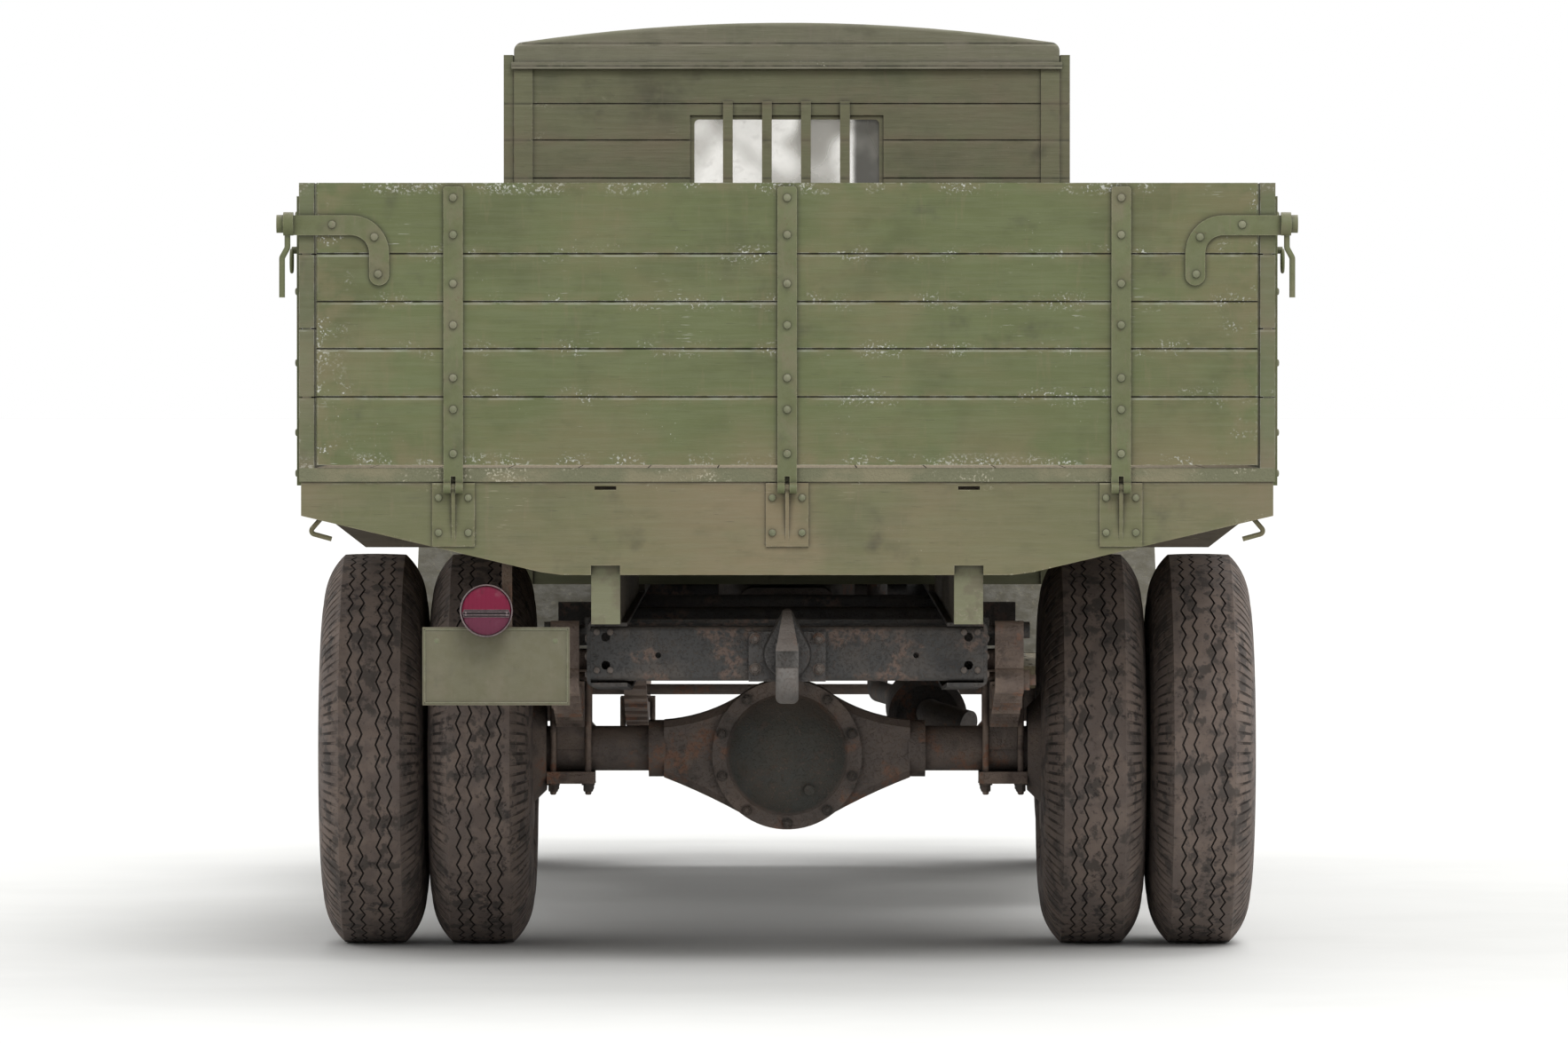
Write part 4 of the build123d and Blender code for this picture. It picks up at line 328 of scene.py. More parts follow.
def road_worn_enamel(name, base, mud, dark, rust, metallic=0.0, roughness=0.7, bowl=None, root=None):
    """Sprayed or bare metal under the truck: road mud, painted shade in the corners, scale and rust in
    patches.
    """
    paint = Finish(name, base, roughness, Metallic=metallic)
    paint.mottle(mud, 0.7, 130, 0.42, 0.66)
    paint.mottle(dark, 0.7, 60, 0.52, 0.7, offset=3.0)
    paint.coat(rust, 0.8, paint.patches(110, 0.54, 0.62, offset=5.0), paint.patches(14, 0.38, 0.58))
    if root:
        # the end by the crossmember keeps its enamel, and the rest is rubbed bare
        enamel, start, full = root
        paint.coat(enamel, 0.85, paint.beyond("Y", start, full))
    if bowl:
        # oil seeps out of the bowl and dust sticks to it, and a painted glossy highlight lies on it in
        # patches
        centre, reach, oily = bowl
        inside = paint.around(centre, reach, reach - 8)
        paint.coat(oily, 0.85, inside)
        # painted highlight on the bowl, in patches
        paint.coat("#4E4F4B", 0.75, inside, paint.patches(120, 0.46, 0.6, offset=12.0))
        paint.coat("#5E5048", 0.6, inside, paint.patches(28, 0.58, 0.7, offset=12.0))
    crumbs = paint.patches(6, 0.5, 0.66, offset=8.0)
    paint.coat(mud, 0.6, crumbs, paint.patches(45, 0.4, 0.6, offset=1.0))
    # pale rubbed metal on the edges in patches, which also works as a painted highlight
    paint.coat("#8F8A80", 0.5, paint.edges(2.5, 0.06, 0.3), paint.patches(18, 0.5, 0.66))
    paint.coat(mud, 0.75, paint.facing(*UPWARD))
    # painted shade in corners and gaps
    paint.coat("#171513", 0.55, paint.crevice_shade(30))
    paint.raise_up(crumbs, 0.9)
    paint.raise_up(paint.patches(22, 0.3, 0.7, offset=2.0), 0.8)
    paint.gloss(crumbs, roughness, min(1.0, roughness + 0.2))
    return paint.done()


def tyre_rubber(name, base, dust, dark):
    """Moulded rubber, aged and dusty: no gloss, brown where dust is rubbed in, black where it is scuffed."""
    rubber = Finish(name, base, 0.9)
    rubber.mottle(dust, 0.7, 75, 0.42, 0.62)
    rubber.mottle(dark, 0.85, 42, 0.52, 0.6, (1, 1, 0.8), offset=3.0)
    rubber.coat("#262221", 0.8, rubber.patches(70, 0.5, 0.6, offset=9.0),
                rubber.patches(16, 0.5, 0.62, detail=5.0, offset=5.0))
    rubber.mottle(dark, 0.5, 11, 0.56, 0.7, offset=6.0)
    rubber.coat(dust, 0.35, rubber.edges(4, 0.03, 0.2))
    # painted shade in corners and gaps
    rubber.coat("#1C1917", 0.6, rubber.crevice_shade(12))
    rubber.raise_up(rubber.patches(2.5, 0.3, 0.7), 0.25)
    rubber.gloss(rubber.patches(38, 0.4, 0.6, offset=3.0), 0.95, 0.78)
    return rubber.done()


def sawn_pine(name, base, pale, dark, painted_end=None):
    """Bare sawn boards: dry, grey-brown, with growth rings and saw marks along the grain."""
    wood = Finish(name, base, 0.85)
    wood.mottle(pale, 0.6, 160, 0.4, 0.62)
    rings = wood.patches(7, 0.42, 0.6, BOARD_GRAIN, detail=5.0, offset=2.0)
    wood.coat(dark, 0.5, rings)
    wood.mottle("#4B4133", 0.6, 2.5, 0.66, 0.72, BOARD_GRAIN, detail=2.0, offset=4.0)
    wood.mottle(dark, 0.5, 90, 0.55, 0.7, offset=8.0)
    if painted_end:
        colour, start, full = painted_end
        end = wood.beyond("Y", start, full)
        wood.coat(colour, 1.0, end)
        wood.coat("#807860", 0.6, end, wood.patches(120, 0.45, 0.6, (0.5, 1, 1), offset=6.0))
        wood.coat("#A5A08C", 0.8, end, wood.patches(6, 0.54, 0.6, detail=5.0, offset=5.0),
                  wood.patches(90, 0.52, 0.62, offset=7.0))
    # painted shade in corners and gaps
    wood.coat("#2E2820", 0.75, wood.crevice_shade(14))
    wood.raise_up(rings, 0.6)
    return wood.done()


def stitched_hide(name, base, worn, dark):
    """Leathercloth over padding: fine pebbled grain, a low sheen and paler worn crowns."""
    hide = Finish(name, base, 0.5)
    # the real grain is about 1.5 mm and is drawn at 3 mm to show
    pebbles = hide.add("ShaderNodeTexVoronoi", {"Vector": hide.where, "Scale": 1000 / 3.0}, output="Distance")
    hide.mottle(worn, 0.6, 120, 0.45, 0.65)
    hide.mottle(dark, 0.5, 40, 0.55, 0.7, offset=2.0)
    # painted shade in the creases
    hide.coat(dark, 0.7, hide.crevice_shade(20))
    hide.raise_up(pebbles, 0.4)
    hide.gloss(hide.patches(30, 0.4, 0.6), 0.58, 0.4)
    return hide.done()


def drawn_glass(name, in_cab=False):
    """Old sheet glass with road dust: it lets the light through, greyed by films and blotches of dust."""
    glass = Finish(name, "#FAF9F6", 0.06, IOR=1.5)
    film = glass.patches(140, 0.42, 0.66, detail=1.0)
    if in_cab:
        # the windscreen is wiped clean, the rear window never is
        wiped = glass.add("ShaderNodeMapRange", {
            "Value": glass.beyond("Y", 500, 400), "To Min": 0.2, "To Max": 1.0})
        film = glass.together(film, wiped)
    glass.coat("#A09D96", 0.8, film)
    glass.mottle("#C9C6C0", 0.4, 30, 0.55, 0.75, detail=2.0, offset=3.0)
    clear = glass.add("ShaderNodeMapRange", {"Value": film, "To Min": 0.97, "To Max": 0.8})
    if in_cab:
        # painted shade: the rear window's right third is painted a thick dark grey and lets less light
        # through
        shaded_third = glass.together(glass.beyond("X", 162, 178), glass.beyond("Y", 320, 300))
        glass.coat("#6A6860", 0.95, shaded_third)
        glass.coat("#4E4C45", 0.7, shaded_third, glass.patches(70, 0.35, 0.6, detail=1.5, offset=7.0))
        clear = glass.add("ShaderNodeMapRange", {"Value": shaded_third, "To Min": clear, "To Max": 0.3})
    glass.tree.links.new(clear, glass.shader.inputs["Transmission Weight"])
    glass.gloss(film, 0.04, 0.35)
    return glass.done()


def pressed_lens(name, upper, lower):
    """Pressed lamp glass: one deep colour above and one below, fine ribs and a thin film of dust."""
    glass = Finish(name, upper, 0.28, IOR=1.5, Specular_IOR_Level=0.2)
    glass.coat(lower, 1.0, glass.beyond("Z", LAMP_BAND_MM + 1.0, LAMP_BAND_MM - 1.0))
    glass.mottle("#3A1A22", 0.35, 14, 0.55, 0.75)
    glass.mottle("#8A6E74", 0.25, 30, 0.55, 0.8, offset=3.0)
    # ribs 5 mm apart
    ribs = glass.add("ShaderNodeTexWave", {"Vector": glass.where, "Scale": 1000 / 5.0 / math.tau},
                     output="Fac", bands_direction="X")
    glass.raise_up(ribs, 0.5)
    return glass.done()


def all_finishes():
    """Every finish of the truck, by the name that pieces and nodes ask for."""
    bar_steel = ("#595D3D", "#616645", "#69624C", "#494C32", "#5E422E", "#9F9C7F")
    return {
        "chassis_paint": road_worn_enamel(
            "Chassis enamel, sprayed", "#333231", "#463F39", "#242323", "#5E4C42"),
        "axle_paint": road_worn_enamel(
            "Axle enamel, sprayed", "#675D57", "#7C6C61", "#48433E", "#845F4B",
            bowl=((0, -1765, 443), 150, "#464640")),
        "spring_steel": road_worn_enamel("Spring steel, rolled", "#716259", "#988577", "#473E39", "#92654D"),
        "exhaust_steel": road_worn_enamel(
            "Exhaust steel, rolled", "#4A4643", "#62574F", "#2F2C2A", "#74503C"),
        "body_paint": brushed_steel_paint(
            "Sheet steel paint, brushed", "#5B5E44", "#666B4F", "#726B56", "#484C35", "#634632"),
        "strap_paint": brushed_steel_paint("Strap steel paint, brushed", *bar_steel),
        "fittings_paint": brushed_steel_paint("Fittings paint, brushed", *bar_steel, bare_below_mm=1024),
        "gate_planks": brushed_planks(
            "Tailgate plank paint, brushed", "#585E3C", "#5F6643", "#6D654A", "#4C5033", "#BDBEB6",
            GATE_JOINTS, (-1043, 1043), (1142, 1752), worn=1.0),
        "side_planks": brushed_planks(
            "Side board paint, brushed", "#5A5E42", "#61664A", "#6C634F", "#4C5138", "#B9B9B0",
            SIDE_JOINTS, borders=(1135, 1752), worn=0.6),
        "sill_planks": brushed_planks(
            "Sill paint, brushed", "#5F6043", "#68674A", "#716650", "#53533B", "#A8A28C", (1098,),
            (-1078, 1078), worn=0.8, centre_dust=("#766A52", 700)),
        "bearer_planks": brushed_planks(
            "Bearer paint, brushed", "#4C453C", "#57503F", "#5A5043", "#332E28", "#7F7866", (1098, 945),
            painted_end=("#6B6B53", -2895, -2900), worn=0.3),
        "cab_planks": brushed_planks(
            "Cab plank paint, brushed", "#61624A", "#68684F", "#6A604F", "#50523E", "#8B8874", CAB_JOINTS,
            worn=0.15, soot=((-330, CAB_REAR_MM, 2020), 15, 110), proud_mm=CAB_REAR_MM - 7),
        "roof_planks": brushed_planks(
            "Roof paint, brushed", "#676653", "#706F5D", "#736D5F", "#565546", "#9E9B8A", (2101, 2158),
            worn=0.4),
        "bed_planks": sawn_pine(
            "Bed pine, sawn", "#81745B", "#94866A", "#66593F", painted_end=("#676750", -2983, -2987)),
        "step_planks": sawn_pine("Step pine, sawn", "#6B624C", "#7C725A", "#4E4635"),
        "cab_floor": sawn_pine("Cab floor pine, sawn", "#4A4436", "#5A5342", "#353024"),
        "tyre_rubber": tyre_rubber("Tyre rubber, moulded", "#5E534D", "#71635A", "#3F3935"),
        # a darker copy of the tyre rubber, as painted shade in the grooves and slots
        "shaded_groove_rubber": tyre_rubber("Groove rubber, moulded, painted shade", "#38312D", "#4A403A", "#282321"),
        "rim_paint": road_worn_enamel("Wheel enamel, sprayed", "#4F4C3E", "#5E5547", "#38352C", "#5C4433"),
        "cast_iron": road_worn_enamel(
            "Iron, sand cast", "#4A4440", "#61554C", "#302C2A", "#6A4736", roughness=0.8),
        "forged_steel": road_worn_enamel(
            "Steel, forged", "#65625F", "#665C55", "#474340", "#6B5042", metallic=0.35, roughness=0.55,
            root=("#3B3938", -2895, -2872)),
        "bolt_steel": brushed_steel_paint(
            "Bolt heads, cold formed", "#66694F", "#7A7B62", "#746D5C", "#535640", "#634432", "#ACAA96"),
        "chassis_bolts": road_worn_enamel(
            "Chassis bolts, forged", "#544D48", "#6C5E54", "#37332F", "#6A4734"),
        "seat_hide": stitched_hide("Leathercloth, stitched", "#3D3229", "#54463A", "#221C17"),
        "pane_glass": drawn_glass("Sheet glass, drawn", in_cab=True),
        "headlamp_glass": drawn_glass("Headlamp glass, pressed"),
        "lamp_lens": pressed_lens("Lamp glass, pressed", "#6A1430", "#5A2639"),
        "lamp_band": pressed_lens("Lamp band, pressed", "#231B1D", "#2A2023"),
        "lamp_rim": road_worn_enamel(
            "Lamp rim, spun zinc", "#6E6163", "#756563", "#4E4546", "#5E4A44", metallic=0.4, roughness=0.5),
        "plate_paint": brushed_steel_paint(
            "Plate paint, sprayed", "#615E49", "#65614D", "#6A6452", "#575443", "#5F4A3A", "#888371"),
        "bracket_paint": road_worn_enamel(
            "Bracket enamel, brushed", "#5A4A3D", "#6B594A", "#3C3129", "#6A4633"),
    }


# nodes whose finish isn't the one that their slot is named for
NODE_FINISH = {
    "rear_axle": "axle_paint", "front_axle": "axle_paint", "tie_rod": "axle_paint",
    "knuckle_left": "axle_paint", "knuckle_right": "axle_paint",
    "rear_springs": "spring_steel", "front_springs": "spring_steel", "exhaust": "exhaust_steel",
    "tailgate_straps": "strap_paint", "tailgate_latches": "strap_paint", "bed_irons": "fittings_paint",
    "tailgate_boards": "gate_planks", "bed_sides": "side_planks", "rear_sill": "sill_planks",
    "bed_bearers": "bearer_planks", "bed_floor": "bed_planks", "running_boards": "step_planks",
    "cab_floor": "cab_floor", "cab_roof": "roof_planks",
}
SLOT_FINISH = {"cab_wood": "cab_planks", "olive_wood": "side_planks", "bare_wood": "bed_planks"}
FINISHES = {}  # filled by the finishes operator


# ---------------- pieces
def lathe(form, centre, axis, profile, turns=16, part=0, flat=False):
    """Turns (reach along the axis, radius) points about an axis; a radius of 0 closes an end."""
    direction = Vector(axis).normalized()
    across = direction.orthogonal().normalized()
    spin = direction.cross(across)
    angles = [math.tau * step / turns for step in range(turns)]
    rings = []
    for reach, radius in profile:
        middle = Vector(centre) + direction * reach
        rings.append([form.verts.new(middle + (across * math.cos(angle) + spin * math.sin(angle)) * radius)
                      for angle in (angles if radius else angles[:1])])
    for low, high in zip(rings, rings[1:]):
        for step in range(turns):
            after = (step + 1) % turns
            corners = [low[step % len(low)], low[after % len(low)], high[after % len(high)],
                       high[step % len(high)]]
            face = form.faces.new(list(dict.fromkeys(corners)))
            face.material_index = part
            face.smooth = not flat


def round_head(form, centre, axis, radius, proud, part=0):
    """A coach bolt's low domed head."""
    lathe(form, centre, axis, (
        (-0.001, radius), (proud * 0.35, radius), (proud * 0.7, radius * 0.86), (proud * 0.93, radius * 0.5),
        (proud, 0),
    ), 14, part)


def hex_nut(form, centre, axis, radius, proud):
    """A nut on a washer, with the bolt's end standing out of it."""
    lathe(form, centre, axis, ((-0.001, radius * 1.3), (proud * 0.14, radius * 1.3), (proud * 0.16, 0)), 16)
    lathe(form, centre, axis, (
        (proud * 0.1, radius), (proud * 0.62, radius), (proud * 0.72, radius * 0.86), (proud * 0.72, 0),
    ), 6, flat=True)
    lathe(form, centre, axis, (
        (proud * 0.5, radius * 0.52), (proud * 0.95, radius * 0.52), (proud, radius * 0.42), (proud, 0),
    ), 10)


def bar(form, low, high, edge, part=0):
    """A flat bar with rounded edges between two corners."""
    made = bmesh.ops.create_cube(form, size=1.0)
    middle = (Vector(low) + Vector(high)) / 2
    size = Vector(high) - Vector(low)
    for vert in made["verts"]:
        vert.co = Vector(vert.co[i] * size[i] + middle[i] for i in range(3))
    faces = dict.fromkeys(face for vert in made["verts"] for face in vert.link_faces)
    for face in faces:
        face.material_index = part
    edges = list(dict.fromkeys(rim for face in faces for rim in face.edges))
    bmesh.ops.bevel(form, geom=edges, offset=edge, segments=2, profile=0.5, affect="EDGES")


def placed(name, data):
    """Puts a mesh, a lamp or a camera in the scene."""
    made = bpy.data.objects.new(name, data)
    bpy.context.scene.collection.objects.link(made)
    return made


def piece(name, form, body, finishes, replaces=None, sharp=35):
    """Makes a mesh of a form and mounts it."""
    mesh = bpy.data.meshes.new(name)
    bmesh.ops.recalc_face_normals(form, faces=form.faces)
    form.to_mesh(mesh)
    form.free()
    return mounted(name, mesh, body, finishes, replaces, sharp)


def mounted(name, mesh, body, finishes, replaces=None, sharp=35):
    """Puts a mesh in the scene, gives it its finishes and lets it ride on a body."""
    if sharp:
        mesh.shade_smooth()
        mesh.set_sharp_from_angle(angle=math.radians(sharp))
    made = placed(name, mesh)
    for finish in finishes:
        mesh.materials.append(FINISHES[finish])
    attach(made, body)
    if replaces:
        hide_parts(replaces)
    return made


# ---------------- tyres
PITCHES = 116  # shoulder slots round the tyre
SLOT_STEPS = ((0.0, 0), (0.06, 1), (0.26, 1), (0.32, 0))  # share of a pitch, whether in the slot
SLOT_DEPTH = 0.006
SLOT_FADE = (0.55, 1.0, 1.0, 1.0, 0.9, 0.6, 0.2)  # share of that depth down the shoulder
GROOVES = (0.021, 0.047)  # middle of each zigzag groove from the tyre's centre line
GROOVE_HALF = (0.0023, 0.0015)  # half its width at the top and at the bottom
GROOVE_DEPTH = 0.006
ZIGZAG = 0.0052
# the section, as (reach from the centre line, radius)
CROWN_MIDDLE = 0.456
CROWN_EDGE = (0.071, 0.454)
CROWN_INNER_REACH = 0.064
SHOULDER = ((0.106, 0.405), (0.118, 0.356))
WALL = ((0.1213, 0.334), (0.122, 0.312))
BEAD = ((0.114, 0.283), (0.088, 0.2695))
BEAD_FOOT = (0.088, 0.2543)


def arc_through(start, middle, end, steps):
    """Points on the arc through three points, without the first."""
    a, b, c = (complex(*point) for point in (start, middle, end))
    ratio = (c - a) / (b - a)
    centre = a + (b - a) * (ratio - abs(ratio)**2) / (2j * ratio.imag)
    sweep = cmath.phase((c - centre) / (a - centre))
    arc = (centre + (a - centre) * cmath.rect(1, sweep * step / steps) for step in range(1, steps + 1))
    return [(point.real, point.imag) for point in arc]


def half_section():
    """One side of the tyre's section as (x, radius, groove depth, slot depth, follows the zigzag)."""
    fall = (CROWN_MIDDLE - CROWN_EDGE[1]) / CROWN_EDGE[0]**2
    rows = [(0.0, CROWN_MIDDLE, 0, 0, 0)]
    for groove in GROOVES:
        for reach, depth in ((-GROOVE_HALF[0], 0), (-GROOVE_HALF[1], GROOVE_DEPTH),
                             (GROOVE_HALF[1], GROOVE_DEPTH), (GROOVE_HALF[0], 0)):
            x = groove + reach
            rows.append((x, CROWN_MIDDLE - fall * x**2, depth, 0, 1))
    rows.append((CROWN_INNER_REACH, CROWN_MIDDLE - fall * CROWN_INNER_REACH**2, 0, 0, 0))
    rows.append((*CROWN_EDGE, 0, 0, 0))
    shoulder = arc_through(CROWN_EDGE, *SHOULDER, 9)
    for place, (x, radius) in enumerate(shoulder):
        cut = SLOT_DEPTH * SLOT_FADE[place] if place < len(SLOT_FADE) else 0
        rows.append((x, radius, 0, cut, 0))
    wall = arc_through(shoulder[-1], *WALL, 3)
    bead = arc_through(wall[-1], *BEAD, 5)
    rows += [(x, radius, 0, 0, 0) for x, radius in (*wall, *bead, BEAD_FOOT)]
    return rows


def middle_y(node):
    """Where the middle of a node is along the truck."""
    low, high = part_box(node)
    return (low[1] + high[1]) / 2


def tyre_ring(points, faces, parts, centre_x, axle_y):
    """Adds one treaded tyre to lists of points, faces and the finish of each face."""
    right = half_section()
    left = [(-x, *others) for x, *others in reversed(right[1:])]
    rows = left + right
    start = len(points)
    steps = [(pitch, share, cut) for pitch in range(PITCHES) for share, cut in SLOT_STEPS]
    for pitch, share, cut in steps:
        turn = math.tau * (pitch + share) / PITCHES
        swing = ZIGZAG * (1 - 2 * abs((pitch + share) % 2 - 1))
        for x, radius, groove, slot, zigzag in rows:
            place = radius - (groove + (slot if cut else 0))
            points.append((centre_x + x + swing * zigzag, axle_y + place * math.sin(turn),
                           AXLE_HEIGHT + place * math.cos(turn)))
    width = len(rows)
    for index, (pitch, share, cut) in enumerate(steps):
        after = (index + 1) % len(steps)
        for row in range(width):
            other = (row + 1) % width
            faces.append([start + index * width + row, start + index * width + other,
                          start + after * width + other, start + after * width + row])
            in_groove = rows[row][2] > 0 or rows[other][2] > 0
            in_slot = min(rows[row][3], rows[other][3]) > 0.8 * SLOT_DEPTH and cut and steps[after][2]
            # grooves and deep slots take the darker rubber, as painted shade
            parts.append(1 if in_groove or in_slot else 0)


# ---------------- fasteners, in metres
# radius, and how far it stands proud
HOOK_NUT = (0.0105, 0.016)
U_BOLT_NUT = (0.012, 0.026)
BOWL_NUT = (0.010, 0.014)
WHEEL_NUT = (0.0145, 0.030)
RAIL_RIVET = (0.008, 0.005)
REAR_RIVET = (0.0075, 0.005)
LAMP_SCREW = (0.0026, 0.0008)
PLATE_SCREW = (0.006, 0.0015)
BRACKET_BOLT = (0.007, 0.004)
BOLT_PROUD = 0.008
# where they are
STRAP_THICKNESS, LATCH_THICKNESS = 0.008, 0.007
STRAP_BOLT_Z = (1.727, 1.645, 1.537, 1.445, 1.328, 1.258, 1.160)
LATCH_BOLTS = ((1.008, 1.6675), (0.9145, 1.640), (0.906, 1.558))  # x and z on one side
HINGE_PLATE_Y = -2.995
HINGE_BOLT_REACH = 0.033  # from a hinge plate's middle
HINGE_BOLT_Z = (1.0625, 0.985)
SIDE_IRON_THICKNESS = 0.010
SIDE_BOLTS = ((-2.860, -2.050, -1.210, -0.620, 0.060), (1.115, 1.206, 1.361, 1.520, 1.690))  # y, z
STEP_TOP = 0.590
STEP_BOLTS = ((0.45, 0.80, 1.14, 1.30), (0.62, 0.755, 0.89))  # y, x
BUMPER_Y = 3.0255
BUMPER_BOLTS = ((0.625, 0.677), (0.36, 0.46))  # z, x
DOOR_FACE_X = 0.716
DOOR_BOLTS = tuple(product((1.017, 1.467), (1.075, 1.015, 0.955))) + ((1.917, 1.08), (1.917, 1.045))  # z, y
RAIL_FACE_X = 0.447
RAIL_RIVETS = ((-2.79, -2.74, -2.16, -2.10, -1.11, -1.05, -0.62, -0.20, 0.12, 0.18, 0.72, 1.30, 1.80),
               (0.665, 0.705, 0.745))  # y, z
REAR_MEMBER_Y = -2.830
REAR_MEMBER_RIVETS = ((0.395, 0.425), (0.675, 0.760))  # x, z
HOOK_PLATE_Y, HOOK_NUT_X, HOOK_NUT_Z = -2.842, 0.071, (0.746, 0.678)
SPRING_X = 0.506
U_BOLT_REACH = 0.041  # from a spring's middle
U_BOLT_Y = (-1.693, -1.567)
U_BOLT_PLATE_Z = 0.375
BOWL_FACES = ((-1.704, -1), (-1.556, 1))  # y, the way that its nuts stand
BOWL_Z, BOWL_CIRCLE, BOWL_NUTS = 0.443, 0.160, 10
DISC_X = {"front": 0.835, "rear": 0.8465}
DISC_CIRCLE = 0.105

# ---------------- lamps and plate, in metres; a profile is (reach along the lamp, radius)
LAMP_X, LAMP_Z = -0.668, 0.811
LAMP_CASE = (
    (2.9005, 0), (2.9005, 0.044), (2.906, 0.052), (2.918, 0.0565), (2.948, 0.0585), (2.951, 0.0565),
    (2.9575, 0.059), (2.9618, 0.0582), (2.9618, 0.0560), (2.957, 0.0548), (2.952, 0.0548), (2.952, 0),
)
LAMP_GLASS = ((2.9535, 0.0546), (2.9565, 0.0538), (2.9585, 0.046), (2.9598, 0.034), (2.9605, 0.018),
              (2.9608, 0))
LAMP_GLASS_BACK = ((2.9535, 0.0546), (2.9525, 0))
BAND_Y = (-2.9614, -2.9555)
BAND_BARS = ((0.0505, 0.8085, 0.8135), (0.0525, 0.8015, 0.8090), (0.0515, 0.7960, 0.8020))  # half, z, z
BAND_EDGE = 0.0012
LAMP_SCREW_Y = -2.9610
LAMP_SCREWS = ((-0.0455, 0.0455), (0.8075, 0.8015))  # x from the lamp's middle, z
PLATE = ((-0.812, -2.9016, 0.599), (-0.484, -2.9000, 0.773))
PLATE_EDGE, BORDER_EDGE = 0.0007, 0.0008
PLATE_SCREW_Y = -2.9012
PLATE_SCREWS = ((-0.78, -0.516), (0.742,))  # x, z
BORDER_Y = (-2.9030, -2.9012)
BORDER_BARS = (  # lowest and highest x and z of each bar
    ((-0.808, 0.603), (-0.488, 0.6062)), ((-0.808, 0.7658), (-0.488, 0.769)),
    ((-0.808, 0.603), (-0.8048, 0.769)), ((-0.4912, 0.603), (-0.488, 0.769)),
)
BRACKET = ((-0.635, -2.8998, 0.639), (-0.612, -2.894, 0.982))
BRACKET_EDGE = 0.0015
BRACKET_BOLT_Y = -2.8995
BRACKET_BOLTS = ((-0.6235,), (0.965, 0.930))  # x, z
HEADLAMP = (0.600, 2.475, 1.105)
HEADLAMP_RIM = ((-0.001, 0.105), (0.004, 0.1045), (0.009, 0.101), (0.010, 0.097), (0.004, 0.094),
                (0.0, 0.093))
HEADLAMP_GLASS = ((0.001, 0.094), (0.006, 0.085), (0.0105, 0.065), (0.0135, 0.04), (0.015, 0.018),
                  (0.0155, 0))
LAMP_TURNS = 48

# ---------------- cushions, in metres
# name, lowest and highest corner of the padding, the axis that it is thin along
CUSHIONS = (
    ("bench_seat", (-0.592, 0.225, 1.138), (0.592, 0.680, 1.240), 2),
    ("bench_back", (-0.592, 0.192, 1.272), (0.592, 0.281, 1.690), 1),
)
PAD_EDGE = 0.022
PRESSURE = 4.0
PRESSURE_STEPS = 20
LARGEST_SWELL = 0.024
CHANNEL_PITCH = 0.17  # between the sewn channels, which pull in along the length
CHANNEL_WIDTH = 0.008
CHANNEL_PULL = 0.18  # share of the padding's half thickness
BENCH_HALF_WIDTH = 0.5995
ROOM_UNDER, ROOM_OVER = 0.008, 0.009  # how far the padding may stand out of its two corners


class TruckSizes(bpy.types.PropertyGroup):
    camera_distance: FloatProperty(
        name="Camera distance", description="From the camera to the middle of the truck",
        default=26.63, unit="LENGTH",
    )
    camera_height: FloatProperty(
        name="Camera height", description="Height of the camera over the floor", default=1.4, unit="LENGTH",
    )
    floor_colour: StringProperty(
        name="Floor colour", description="sRGB colour of the studio floor", default="#CBCBC9",
    )
    floor_reach: FloatProperty(
        name="Floor reach", description="From the truck to the floor's edge, as far as the horizon",
        default=900.0, unit="LENGTH",
    )
    softbox_strength: FloatProperty(
        name="Softbox strength", description="Light of the softboxes on a square metre", default=3.0,
    )
    tyre_half_width: FloatProperty(
        name="Tyre half width", description="From a tyre's middle to its sidewall", default=0.122,
        unit="LENGTH",
    )
    bolt_radius: FloatProperty(
        name="Bolt radius", description="Radius of a coach bolt's head on the planks", default=0.008,
        unit="LENGTH",
    )
    wheel_nuts: IntProperty(
        name="Wheel nuts", description="Nuts round each wheel's disc", default=8, min=4,
    )
    cushion_cell: FloatProperty(
        name="Cushion cell", description="Size of the cloth's cells on the seat cushions", default=0.012,
        unit="LENGTH",
    )


class TRUCK_OT_stage(bpy.types.Operator):
    """Set the studio floor, the lights and the camera"""
    bl_idname = "truck.stage"
    bl_label = "Stage"

    def execute(self, context):
        sizes = context.scene.truck_sizes
        mesh = bpy.data.meshes.new("studio_floor")
        reach = sizes.floor_reach
        corners = [(x * reach, y * reach, 0.0) for x, y in ((-1, -1), (1, -1), (1, 1), (-1, 1))]
        mesh.from_pydata(corners, [], [(0, 1, 2, 3)])
        floor = placed("studio_floor", mesh)
        paper = Finish("Studio paper, matt", sizes.floor_colour, 0.95)
        paper.mottle("#D0D0CE", 0.5, 900, 0.4, 0.6)
        mesh.materials.append(paper.done())

        world = bpy.data.worlds.new("Studio")
        world.use_nodes = True
        background = world.node_tree.nodes["Background"].inputs
        background["Color"].default_value = linear("#FFFFFF")
        background["Strength"].default_value = 1.0
        context.scene.world = world
        context.scene.view_settings.view_transform = "Standard"

        lens = bpy.data.cameras.new("camera")
        lens.sensor_width = 36.0
        lens.lens = LENS_MM
        lens.clip_end = 200.0
        camera = placed("camera", lens)
        camera.location = (CAMERA_X, -sizes.camera_distance, sizes.camera_height)
        camera.rotation_euler = (math.radians(90 - CAMERA_TILT), 0, 0)
        context.scene.camera = camera

        # two wide softboxes, so far off that they work as broad suns
        for name, aim, share, angle in SOFTBOXES:
            lamp = bpy.data.lights.new(name, "SUN")
            lamp.energy = sizes.softbox_strength * share
            lamp.angle = math.radians(angle)
            placed(name, lamp).rotation_euler = Vector(aim).to_track_quat("-Z", "Y").to_euler()
        return {"FINISHED"}


